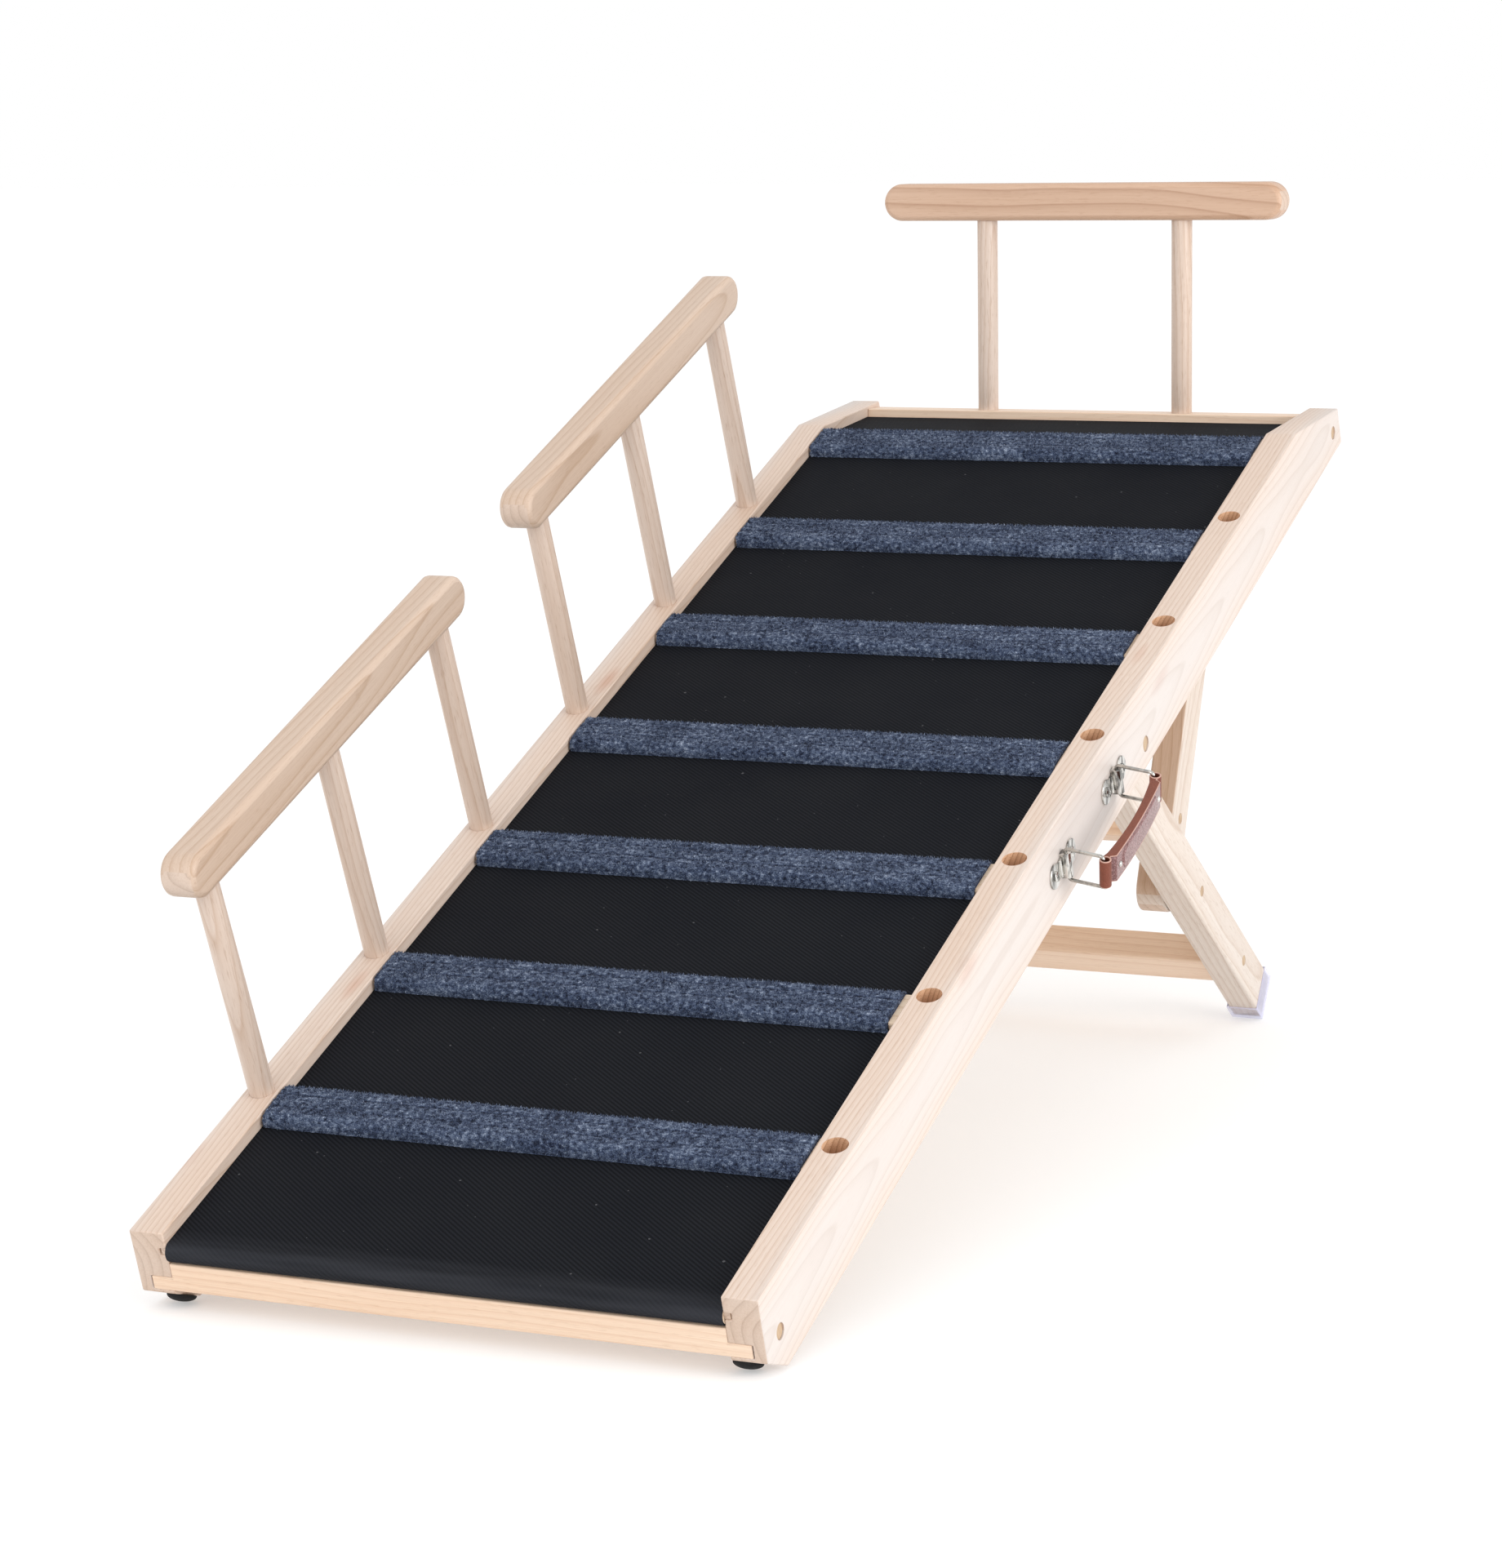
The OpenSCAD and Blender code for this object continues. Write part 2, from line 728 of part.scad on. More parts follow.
module handle_plate_lower() { handle_plate(-1); }
module handle_plate_upper() { handle_plate(1); }

module handle_screws() {
    head_r = 3.2;
    head_t = 1.6;
    color(steel) at_plate_screws() {
        cross_cyl(ramp_w / 2 + plate_t, ramp_w / 2 + plate_t + head_t, [0, 0], head_r);
        cross_cyl(ramp_w / 2 - plate_screw_len, ramp_w / 2 + plate_t, [0, 0], plate_screw_r);
    }
}

// Rectangular wire loop hinged in the plate's band
module handle_loop(s) {
    color(steel) translate([wire_x, plate_y(s), handle_z]) rotate([0, 0, -loop_droop]) {
        for (x = [0, loop_len]) translate([x, 0, -wire_w / 2]) cylinder(r = wire_r, h = wire_w);
        for (z = [-1, 1]) translate([0, 0, z * wire_w / 2]) {
            rotate([0, 90, 0]) cylinder(r = wire_r, h = loop_len);
            for (x = [0, loop_len]) translate([x, 0, 0]) sphere(r = wire_r);
        }
    }
}

module handle_loop_lower() { handle_loop(-1); }
module handle_loop_upper() { handle_loop(1); }

// Centre of the strap's bow, and the places of the two rivets on it
module at_bow() {
    translate([grip_bar[0] + grip_rise - bow_r, handle_y + grip_bar[1], handle_z]) children();
}

module at_rivets() {
    at_bow() for (s = [-1, 1])
        rotate([0, 0, s * rivet_turn]) translate([bow_r, 0, 0]) rotate([0, 90, 0]) children();
}

// Bowed strap with an eyelet round the outer bar of each loop
module handle_grip() {
    color(leather) difference() {
        union() {
            at_eyelets() cylinder(r = eyelet_r, h = grip_w);
            intersection() {
                at_bow() translate([0, 0, -grip_w / 2]) difference() {
                    cylinder(r = bow_r + grip_t / 2, h = grip_w, $fn = 180);
                    translate([0, 0, -1]) cylinder(r = bow_r - grip_t / 2, h = grip_w + 2, $fn = 180);
                }
                translate([ramp_w / 2, handle_y + grip_bar[1] - grip_half, handle_z - grip_w])
                    cube([plate_pitch, plate_pitch, 2 * grip_w]);
            }
        }
        at_eyelets() translate([0, 0, -1]) cylinder(r = wire_r + bearing_gap, h = grip_w + 2);
        at_rivets() translate([0, 0, -grip_t]) cylinder(r = rivet_r, h = 2 * grip_t);
    }
}

module at_eyelets() {
    for (s = [-1, 1]) translate([grip_bar[0], plate_y(s) + grip_bar[1], handle_z - grip_w / 2]) children();
}

module grip_rivets() {
    head_r = 2.6;
    head_t = 0.8;
    color(steel) at_rivets() {
        translate([0, 0, -grip_t / 2]) cylinder(r = rivet_r, h = grip_t);
        translate([0, 0, grip_t / 2]) cylinder(r = head_r, h = head_t);
        translate([0, 0, -grip_t / 2 - head_t]) cylinder(r = head_r, h = head_t);
    }
}

// ---- drawing ----

on_ramp() left_rail();
on_ramp() right_rail();
on_ramp() front_crossbar();
on_ramp() top_crossbar();
on_ramp() deck_panel();
on_ramp() landing_panel();
on_ramp() deck_cover();
for (k = [1:7]) {
    on_ramp() tread_batten(k);
    on_ramp() tread_carpet(k);
}
on_ramp() left_rack();
on_ramp() right_rack();
on_ramp() rack_screws();
on_ramp() rail_plugs();
on_ramp() rail_screws();
on_ramp() rubber_feet();
on_ramp() leg_pivot_bolts();
on_ramp() leg_pivot_nuts();
on_ramp() leg_pivot_washers();
on_ramp() handle_plate_lower();
on_ramp() handle_plate_upper();
on_ramp() handle_screws();
on_ramp() leg_left();
on_ramp() leg_right();
on_ramp() leg_crossbar();
on_ramp() foot_cap_left();
on_ramp() foot_cap_right();
on_ramp() leg_plugs();
on_ramp() leg_screws();
on_ramp() brace_pivot_bolts();
on_ramp() brace_pivot_nuts();
on_ramp() brace_pivot_washers();
on_ramp() brace_left();
on_ramp() brace_right();
on_ramp() brace_crossbar();
on_ramp() brace_rod();
on_ramp() brace_plugs();
on_ramp() brace_screws();
on_ramp() guard_lower_handrail();
on_ramp() guard_lower_dowels();
on_ramp() guard_upper_handrail();
on_ramp() guard_upper_dowels();
on_ramp() guard_top_handrail();
on_ramp() guard_top_dowels();
on_ramp() handle_loop_lower();
on_ramp() handle_loop_upper();
on_ramp() handle_grip();
on_ramp() grip_rivets();
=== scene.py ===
"""Looks of the folding pet ramp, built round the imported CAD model.

Wooden members are softened copies of the CAD solids with a solid pine texture
that follows each member's own grain. The deck cover, the tread carpets, the
rubber feet, the strap handle and its wire loops are modelled here.
"""

import json
import math
import random

import bmesh
import bpy
import numpy as np
from mathutils import Matrix, Vector, noise


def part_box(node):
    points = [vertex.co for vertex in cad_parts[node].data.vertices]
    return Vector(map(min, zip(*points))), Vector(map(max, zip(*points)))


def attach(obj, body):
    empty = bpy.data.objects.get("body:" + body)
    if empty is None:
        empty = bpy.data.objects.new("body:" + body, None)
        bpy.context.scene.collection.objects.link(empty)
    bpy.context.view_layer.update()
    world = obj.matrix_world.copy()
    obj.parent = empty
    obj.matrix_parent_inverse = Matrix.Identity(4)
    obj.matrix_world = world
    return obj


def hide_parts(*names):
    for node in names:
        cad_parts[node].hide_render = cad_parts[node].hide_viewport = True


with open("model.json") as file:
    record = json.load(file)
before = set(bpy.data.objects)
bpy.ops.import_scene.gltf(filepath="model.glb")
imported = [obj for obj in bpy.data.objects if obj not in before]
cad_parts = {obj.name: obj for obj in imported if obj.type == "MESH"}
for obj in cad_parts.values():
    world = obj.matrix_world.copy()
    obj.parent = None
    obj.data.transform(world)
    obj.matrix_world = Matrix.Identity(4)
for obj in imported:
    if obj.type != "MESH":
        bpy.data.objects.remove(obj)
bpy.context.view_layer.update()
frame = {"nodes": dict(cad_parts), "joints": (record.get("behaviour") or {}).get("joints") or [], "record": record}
rng = random.Random(7)

MM = 0.001

# ---- the ramp's own frame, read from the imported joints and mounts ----

joints = {j["name"]: j for j in frame["joints"]}
mounts = {m["name"]: m for m in frame["record"]["mounts"]}

ACROSS = Vector((1, 0, 0))
PLUMB = Vector((0, 0, 1))
NORMAL = Vector(joints["guard_lower_lift"]["axis"]).normalized()
SLOPE = NORMAL.cross(ACROSS).normalized() * -1
if SLOPE.y < 0:
    SLOPE = -SLOPE

RAIL_MID = 179.25 * MM
RAIL_IN = 168.5 * MM
SOCKET_Y = [(137.5 + 148.4 * k) * MM for k in range(6)]
SOCKET_R = mounts["guard_socket_1"]["dims"]["r_mm"] * MM
SOCKET_MID = 17 * MM
TOP_DOWEL_X = 75.5 * MM
DOWEL_RIM = 8.2 * MM

ORIGIN = (
    Vector(mounts["guard_socket_1"]["pos_m"])
    - ACROSS * RAIL_MID
    - SLOPE * SOCKET_Y[0]
    + NORMAL * SOCKET_MID
)


def on_ramp(x, y, z):
    """A point of the ramp's frame: x across, y up the slope, z above the rail tops."""
    return ORIGIN + ACROSS * x + SLOPE * y + NORMAL * z


LEG_PIVOT = Vector(joints["leg_fold"]["pos_m"])
BRACE_PIVOT = Vector(joints["brace_fold"]["pos_m"])
LEG_DIR = (BRACE_PIVOT - LEG_PIVOT).normalized()


def centre(node):
    low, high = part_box(node)
    return (low + high) / 2


ROD = centre("brace_rod")
BRACE_DIR = (Vector((0, ROD.y, ROD.z)) - Vector((0, BRACE_PIVOT.y, BRACE_PIVOT.z))).normalized()

# ---- camera, floor and light ----


def make_camera():
    """Long lens to the right of the ramp's foot, looking slightly down."""
    azimuth, elevation, roll = (math.radians(a) for a in (24.357, 9.209, -0.863))
    flat = math.cos(elevation)
    back = Vector((math.sin(azimuth) * flat, -math.cos(azimuth) * flat, math.sin(elevation)))
    data = bpy.data.cameras.new("camera")
    data.lens = 96.0
    data.clip_end = 50
    cam = bpy.data.objects.new("camera", data)
    cam.location = (1.029, -2.4175, 0.6533)
    turn = (-back).to_track_quat("-Z", "Y").to_matrix()
    cam.matrix_world = Matrix.Translation(cam.location) @ (
        turn @ Matrix.Rotation(roll, 3, "Z")
    ).to_4x4()
    bpy.context.scene.collection.objects.link(cam)
    bpy.context.scene.camera = cam


def area_light(name, place, target, size, power):
    data = bpy.data.lights.new(name, "AREA")
    data.shape = "DISK"
    data.size = size
    data.energy = power
    lamp = bpy.data.objects.new(name, data)
    lamp.location = place
    lamp.rotation_euler = (Vector(target) - Vector(place)).to_track_quat("-Z", "Y").to_euler()
    bpy.context.scene.collection.objects.link(lamp)


def make_studio():
    """White floor that runs into the white world, a large light from the right and one in front."""
    bpy.ops.mesh.primitive_plane_add(size=60, location=(0, 0, 0))
    floor = bpy.context.object
    floor.name = "floor"
    surface = {
        "Base Color": (0.70, 0.70, 0.70, 1),
        "Roughness": 1.0,
        "Specular IOR Level": 0.0,
        "Emission Color": (1, 1, 1, 1),
        "Emission Strength": 0.34,
    }
    floor.data.materials.append(Graph("floor", surface).material)
    world = bpy.data.worlds.new("studio")
    world.use_nodes = True
    sky = world.node_tree.nodes["Background"].inputs
    sky["Color"].default_value = (1, 1, 1, 1)
    sky["Strength"].default_value = 1.0
    bpy.context.scene.world = world
    bpy.context.scene.view_settings.view_transform = "Standard"
    target = (0, 0, 0.25)
    area_light("right", (2.7, -0.7, 0.9), target, 1.5, 38)
    area_light("front", (-0.6, -2.8, 1.3), target, 1.6, 14)


# ---- materials ----


class Graph:
    """One material and short-hand for its nodes."""

    def __init__(self, name, surface):
        self.material = bpy.data.materials.new(name)
        self.material.use_nodes = True
        self.tree = self.material.node_tree
        self.shader = self.tree.nodes["Principled BSDF"]
        for socket, value in surface.items():
            self.shader.inputs[socket].default_value = value

    def node(self, kind, inputs, **settings):
        made = self.tree.nodes.new("ShaderNode" + kind)
        for key, value in settings.items():
            setattr(made, key, value)
        for key, value in inputs.items():
            if isinstance(value, bpy.types.NodeSocket):
                self.tree.links.new(value, made.inputs[key])
            else:
                made.inputs[key].default_value = value
        return made

    def feed(self, socket, value):
        self.tree.links.new(value, self.shader.inputs[socket])

    def math(self, operation, a, b=0.0):
        return self.node("Math", {0: a, 1: b}, operation=operation).outputs[0]

    def scaled(self, vector, factors):
        return self.node("VectorMath", {0: vector, 1: factors}, operation="MULTIPLY").outputs[0]

    def noise(self, vector, scale, detail, roughness=0.5):
        inputs = {"Vector": vector, "Scale": scale, "Detail": detail, "Roughness": roughness}
        return self.node("TexNoise", inputs).outputs[0]

    def ramp(self, value, stops):
        made = self.node("ValToRGB", {0: value})
        elements = made.color_ramp.elements
        while len(elements) < len(stops):
            elements.new(0.5)
        for element, (place, colour) in zip(elements, stops):
            element.position = place
            element.color = (*colour, 1)
        return made.outputs[0]

    def mix(self, factor, a, b, mode="MIX"):
        made = self.node("Mix", {0: factor, 6: a, 7: b}, data_type="RGBA", blend_type=mode)
        return made.outputs[2]

    def bump(self, height, distance, strength):
        inputs = {"Height": height, "Distance": distance, "Strength": strength}
        self.feed("Normal", self.node("Bump", inputs).outputs[0])

    def attribute(self, name):
        return self.node("Attribute", {}, attribute_name=name).outputs["Vector"]

    def split(self, vector):
        return self.node("SeparateXYZ", {0: vector}).outputs


def pine(
    name, pale, late, ring, contrast=0.8, taper=0.02, waver=0.02, fleck=0.3, roughness=0.4, highlight_grey=None
):
    """Solid pine: growth rings round the pith, fine fibres, pores and a slow drift of tone.

    ring is the width of a year's growth and contrast how far its late wood darkens. taper
    and waver tilt and bend the rings, which draws arches where a face cuts them flat.
    fleck is the strength of the pores. The last argument gives a greyer colour painted round the pith and the two
    radii between which it fades; placed on the rails' outer faces, it is a painted highlight, the washed-out look
    of faces in strong light. Wood given it has faint knots too.
    """
    g = Graph(name, {"Roughness": roughness, "Specular IOR Level": 0.45})
    grain = g.attribute("grain")
    along, a, b = g.split(grain)[0:3]
    warp = g.noise(g.scaled(grain, (3.2, 9.0, 9.0)), 1.0, 2.0)
    radius = g.math("SQRT", g.math("ADD", g.math("MULTIPLY", a, a), g.math("MULTIPLY", b, b)))
    bare = g.math("ADD", radius, g.math("MULTIPLY", warp, 0.016))
    radius = g.math("ADD", radius, g.math("MULTIPLY", warp, waver))
    radius = g.math("ADD", radius, g.math("MULTIPLY", along, taper))
    phase = g.math("FRACT", g.math("DIVIDE", radius, ring))
    soft = tuple(p + (q - p) * 0.4 * contrast for p, q in zip(pale, late))
    dark = tuple(p + (q - p) * contrast for p, q in zip(pale, late))
    rings = g.ramp(phase, [(0.0, pale), (0.45, pale), (0.8, soft), (0.93, dark), (1.0, pale)])
    fibre = g.noise(g.scaled(grain, (9.0, 850.0, 850.0)), 1.0, 3.0, 0.6)
    fibres = g.ramp(fibre, [(0.3, (0.90, 0.86, 0.83)), (0.62, (1.0, 1.0, 1.0))])
    colour = g.mix(0.6, rings, fibres, "MULTIPLY")
    pore = g.noise(g.scaled(grain, (110.0, 1500.0, 1500.0)), 1.0, 1.0)
    pores = g.ramp(pore, [(0.30, (0.72, 0.62, 0.54)), (0.40, (1.0, 1.0, 1.0))])
    colour = g.mix(fleck, colour, pores, "MULTIPLY")
    drift = g.noise(g.scaled(grain, (2.3, 22.0, 22.0)), 1.0, 2.0)
    tone = g.ramp(drift, [(0.35, (1.0, 0.995, 0.985)), (0.68, (0.95, 0.885, 0.82))])
    colour = g.mix(0.8, colour, tone, "MULTIPLY")
    if highlight_grey:
        spots = {"Vector": g.scaled(grain, (7.0, 26.0, 26.0)), "Scale": 1.0}
        spot = g.node("TexVoronoi", spots).outputs[0]
        knots = g.ramp(spot, [(0.05, (0.86, 0.68, 0.60)), (0.16, (1, 1, 1))])
        colour = g.mix(0.9, colour, knots, "MULTIPLY")
        # Painted highlight: this grey, mixed in round the pith, gives the rails' outer faces the washed-out look
        # of faces in strong light.
        shade, full, none = highlight_grey
        stops = [(full * 10, (1, 1, 1)), (none * 10, (0, 0, 0))]
        reach = g.ramp(g.math("MULTIPLY", bare, 10.0), stops)
        colour = g.mix(g.math("MULTIPLY", reach, 0.55), colour, (*shade, 1))
    g.feed("Base Color", colour)
    g.bump(g.math("ADD", g.math("MULTIPLY", fibre, 0.6), phase), 0.05 * MM, 0.35)
    return g.material


def make_woods():
    """The looks of the wood. Colours are those of early and late wood."""
    # Painted highlight: a grey round the pith, which falls on the rails' outer faces for their washed-out look in
    # the strong light from the right.
    rail_highlight_grey = ((0.605, 0.605, 0.61), 44 * MM, 60 * MM)
    return {
        "rail": pine(
            "pine_rail", (0.71, 0.585, 0.505), (0.57, 0.42, 0.32), 2.9 * MM, 0.85, highlight_grey=rail_highlight_grey
        ),
        "face": pine("pine", (0.685, 0.618, 0.565), (0.565, 0.46, 0.385), 3.8 * MM, 0.85, fleck=0.5),
        "dowel": pine("pine_dowel", (0.665, 0.55, 0.475), (0.55, 0.41, 0.32), 3.8 * MM, 0.8, fleck=0.5),
        "rich": pine("pine_rich", (0.61, 0.475, 0.38), (0.485, 0.34, 0.24), 5.2 * MM, 0.75, 0.03, 0.03),
        "tan": pine("pine_tan", (0.61, 0.42, 0.305), (0.455, 0.28, 0.185), 10.0 * MM, 0.9, 0.05, 0.04),
        "bar": pine("pine_bar", (0.83, 0.65, 0.505), (0.72, 0.50, 0.355), 4.4 * MM, 0.65),
        "end": pine(
            "pine_end_grain", (0.63, 0.51, 0.43), (0.47, 0.36, 0.29), 6.5 * MM, 0.7,
            waver=0.06, roughness=0.65,
        ),
        "bore": pine(
            "pine_bore", (0.74, 0.48, 0.31), (0.44, 0.24, 0.13), 2.6 * MM, 1.0,
            fleck=1.0, roughness=0.85,
        ),
        "plug": pine("plug_wood", (0.54, 0.41, 0.28), (0.41, 0.28, 0.18), 1.6 * MM, roughness=0.6),
        "board": pine("board_wood", (0.74, 0.61, 0.48), (0.61, 0.45, 0.32), 7.0 * MM, roughness=0.6),
    }


def make_deck_fabric():
    """Black coated twill: slanting cords with grit and a little lint, and a paler band over the nose that is
    partly rubbed wear and partly a painted highlight.
    """
    g = Graph("deck_fabric", {"Roughness": 0.7, "Specular IOR Level": 0.035})
    cloth = g.attribute("cloth")
    x, s, _ = g.split(cloth)[0:3]
    cord_pitch = 2.3 * MM
    thread_pitch = 1.3 * MM
    slant = [g.math("MULTIPLY", x, 0.58 / cord_pitch), g.math("MULTIPLY", s, 0.815 / cord_pitch)]
    cord = g.math("SINE", g.math("MULTIPLY", g.math("ADD", *slant), 2 * math.pi))
    thread = g.math("SINE", g.math("MULTIPLY", g.math("SUBTRACT", x, s), 2 * math.pi / thread_pitch))
    grit = g.noise(cloth, 1500.0, 2.0)
    cloud = g.noise(cloth, 14.0, 2.0)
    height = g.math("ADD", cord, g.math("ADD", g.math("MULTIPLY", thread, 0.3), grit))
    level = g.math("MULTIPLY", g.math("ADD", height, 2.0), 0.25)
    speck = g.ramp(level, [(0.25, (0.0040, 0.0044, 0.0054)), (0.8, (0.0158, 0.0170, 0.0208))])
    patch = g.ramp(cloud, [(0.3, (0.80, 0.82, 0.87)), (0.7, (1.0, 1.0, 1.0))])
    colour = g.mix(1.0, speck, patch, "MULTIPLY")
    fold = g.noise(g.scaled(cloth, (9.0, 90.0, 1.0)), 1.0, 2.0)
    # Paler band round the nose: partly rubbed wear, partly a painted highlight where the nose faces the front
    # light.
    stops = [(0.23, (0, 0, 0)), (0.30, (1, 1, 1)), (0.35, (0.7, 0.7, 0.7)), (0.46, (0, 0, 0))]
    band = g.ramp(g.math("MULTIPLY", s, 8.0), stops)
    wear_and_highlight = g.math("MULTIPLY", band, g.math("SUBTRACT", g.math("MULTIPLY", fold, 1.5), 0.25))
    lint = g.ramp(g.noise(cloth, 330.0, 0.0), [(0.86, (0, 0, 0)), (0.89, (1, 1, 1))])
    colour = g.mix(lint, colour, (0.08, 0.08, 0.085, 1))
    g.feed("Base Color", g.mix(wear_and_highlight, colour, (0.045, 0.047, 0.055, 1)))
    g.bump(g.math("ADD", height, g.math("MULTIPLY", fold, 4.0)), 0.12 * MM, 0.6)
    return g.material


def make_carpet():
    """Blue-grey looped pile. The cloth attribute holds the place and how far a loop stands up; lower pile is
    coloured darker, a painted shade.
    """
    surface = {"Roughness": 1.0, "Specular IOR Level": 0.05, "Sheen Weight": 0.06, "Sheen Roughness": 0.6}
    g = Graph("carpet", surface)
    cloth = g.attribute("cloth")
    x, run, shade_height = g.split(cloth)[0:3]
    place = g.node("CombineXYZ", {0: x, 1: run, 2: 0.0}).outputs[0]
    fibre = g.noise(g.scaled(place, (0.8, 1.0, 1.0)), 1500.0, 2.0, 0.7)
    yarn = g.noise(g.scaled(place, (0.7, 1.0, 1.0)), 480.0, 2.0, 0.6)
    patch = g.noise(place, 55.0, 1.0)
    level = g.math("ADD", g.math("MULTIPLY", fibre, 0.65), g.math("MULTIPLY", yarn, 0.65))
    # Painted shade: lower pile is coloured darker, in the hollows between loops, in the worn rib grooves, at the
    # tufts' roots and on the inner face.
    level = g.math("ADD", level, g.math("MULTIPLY", shade_height, 260.0))
    level = g.math("ADD", level, g.math("MULTIPLY", patch, 0.12))
    navy, blue = (0.008, 0.011, 0.025), (0.048, 0.067, 0.121)
    grey, light = (0.145, 0.183, 0.262), (0.42, 0.47, 0.59)
    g.feed("Base Color", g.ramp(level, [(0.52, navy), (0.70, blue), (0.85, grey), (1.0, light)]))
    g.bump(g.math("ADD", fibre, yarn), 0.5 * MM, 0.8)
    return g.material


def make_metal(name, dark, light, roughness):
    """Plated metal whose colour runs in streaks between a dark and a light tone."""
    g = Graph(name, {"Metallic": 1.0, "Roughness": roughness})
    place = g.node("TexCoord", {}).outputs["Object"]
    streak = g.noise(g.scaled(place, (260.0, 260.0, 60.0)), 1.0, 2.0)
    g.feed("Base Color", g.ramp(streak, [(0.40, dark), (0.56, light)]))
    g.bump(g.noise(place, 900.0, 2.0), 0.02 * MM, 0.3)
    return g.material


def make_rubber():
    g = Graph("rubber", {"Roughness": 0.75, "Specular IOR Level": 0.3})
    place = g.node("TexCoord", {}).outputs["Object"]
    grit = g.noise(place, 900.0, 2.0)
    g.feed("Base Color", g.ramp(grit, [(0.3, (0.004, 0.004, 0.005)), (0.7, (0.012, 0.012, 0.013))]))
    g.bump(grit, 0.1 * MM, 0.4)
    return g.material


def make_pvc(name, alpha):
    """Clear vinyl with a violet tint, a little cloudy. alpha is lower where its wall looks thin."""
    g = Graph(name, {"Roughness": 0.2, "Specular IOR Level": 0.5, "Alpha": alpha})
    place = g.node("TexCoord", {}).outputs["Object"]
    cloud = g.noise(place, 120.0, 2.0)
    g.feed("Base Color", g.ramp(cloud, [(0.3, (0.72, 0.725, 0.97)), (0.7, (0.80, 0.805, 1.0))]))
    g.bump(g.noise(place, 400.0, 1.0), 0.05 * MM, 0.3)
    return g.material


def make_leather(name, dark, light, pebble, gloss):
    """Moulded leather-look skin with a pebbled surface. gloss runs from 0 to 1."""
    surface = {
        "Roughness": 0.5 - 0.2 * gloss,
        "Specular IOR Level": 0.3,
        "Coat Weight": 0.3 * gloss,
    }
    g = Graph(name, surface)
    cloth = g.attribute("cloth")
    inputs = {"Vector": cloth, "Scale": 1.0 / pebble}
    cells = g.node("TexVoronoi", inputs, feature="DISTANCE_TO_EDGE").outputs[0]
    shade = g.ramp(cells, [(0.0, dark), (0.25, light)])
    cloud = g.ramp(g.noise(cloth, 160.0, 2.0), [(0.3, (0.85, 0.85, 0.85)), (0.7, (1, 1, 1))])
    g.feed("Base Color", g.mix(0.8, shade, cloud, "MULTIPLY"))
    g.bump(g.math("MINIMUM", cells, 0.3), (0.08 + 0.25 * gloss) * MM, 0.6)
    return g.material


# ---- mesh helpers ----


def new_piece(name, mesh, body, materials):
    """Links a mesh as a piece of the object on its body."""
    piece = bpy.data.objects.new(name, mesh)
    for m in materials:
        mesh.materials.append(m)
    bpy.context.scene.collection.objects.link(piece)
    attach(piece, body)
    return piece


def store_vectors(mesh, name, values):
    attribute = mesh.attributes.new(name, "FLOAT_VECTOR", "POINT")
    attribute.data.foreach_set("vector", np.asarray(values, np.float32).ravel())


def body_of(node):
    return next(b for b, members in frame["record"]["behaviour"]["bodies"].items() if node in members)


def slot_of(node):
    return next(s["material_slot"] for s in frame["record"]["subparts"] if s["node"] == node)


def mesh_of(bm, name):
    """Turns a bmesh into a mesh and frees it."""
    mesh = bpy.data.meshes.new(name)
    bm.to_mesh(mesh)
    bm.free()
    return mesh


def mark_curved(bm):
    """Shades curved faces smooth and leaves the flats flat."""
    for f in bm.faces:
        f.smooth = False
    for e in bm.edges:
        if not e.is_manifold:
            continue
        angle = e.calc_face_angle(0)
        if not math.radians(0.6) < angle < math.radians(28):
            continue
        small, large = sorted(e.link_faces, key=lambda f: f.calc_area())
        small.smooth = True
        if large.calc_area() < 3 * small.calc_area():
            large.smooth = True


def clean_copy(node):
    """A bmesh of a CAD node with its flat faces made whole again."""
    bm = bmesh.new()
    bm.from_mesh(frame["nodes"][node].data)
    bmesh.ops.remove_doubles(bm, verts=bm.verts, dist=0.002 * MM)
    bmesh.ops.dissolve_limit(bm, angle_limit=math.radians(0.3), verts=bm.verts, edges=bm.edges)
    mark_curved(bm)
    return bm


def round_edges(bm, width, segments, wanted):
    """Rounds the sharp edges that wanted(edge) picks."""
    sharp = math.radians(30)
    edges = [e for e in bm.edges if e.is_manifold and e.calc_face_angle(0) > sharp and wanted(e)]
    made = bmesh.ops.bevel(
        bm,
        geom=edges,
        offset=width,
        offset_type="OFFSET",
        segments=segments,
        profile=0.5,
        affect="EDGES",
        clamp_overlap=False,
    )
    for f in made["faces"]:
        f.smooth = True


def near_line(point, start, direction, radius):
    """True if a point lies within radius of a line."""
    d = Vector(point) - start
    return (d - direction * d.dot(direction)).length < radius


def grain_frame(direction):
    """Along the grain and two directions across it."""
    side = ACROSS if abs(direction.dot(ACROSS)) < 0.9 else SLOPE
    second = direction.cross(side).normalized()
    return direction, second.cross(direction).normalized(), second


SIDES, ENDS, BORES, EDGES = range(4)


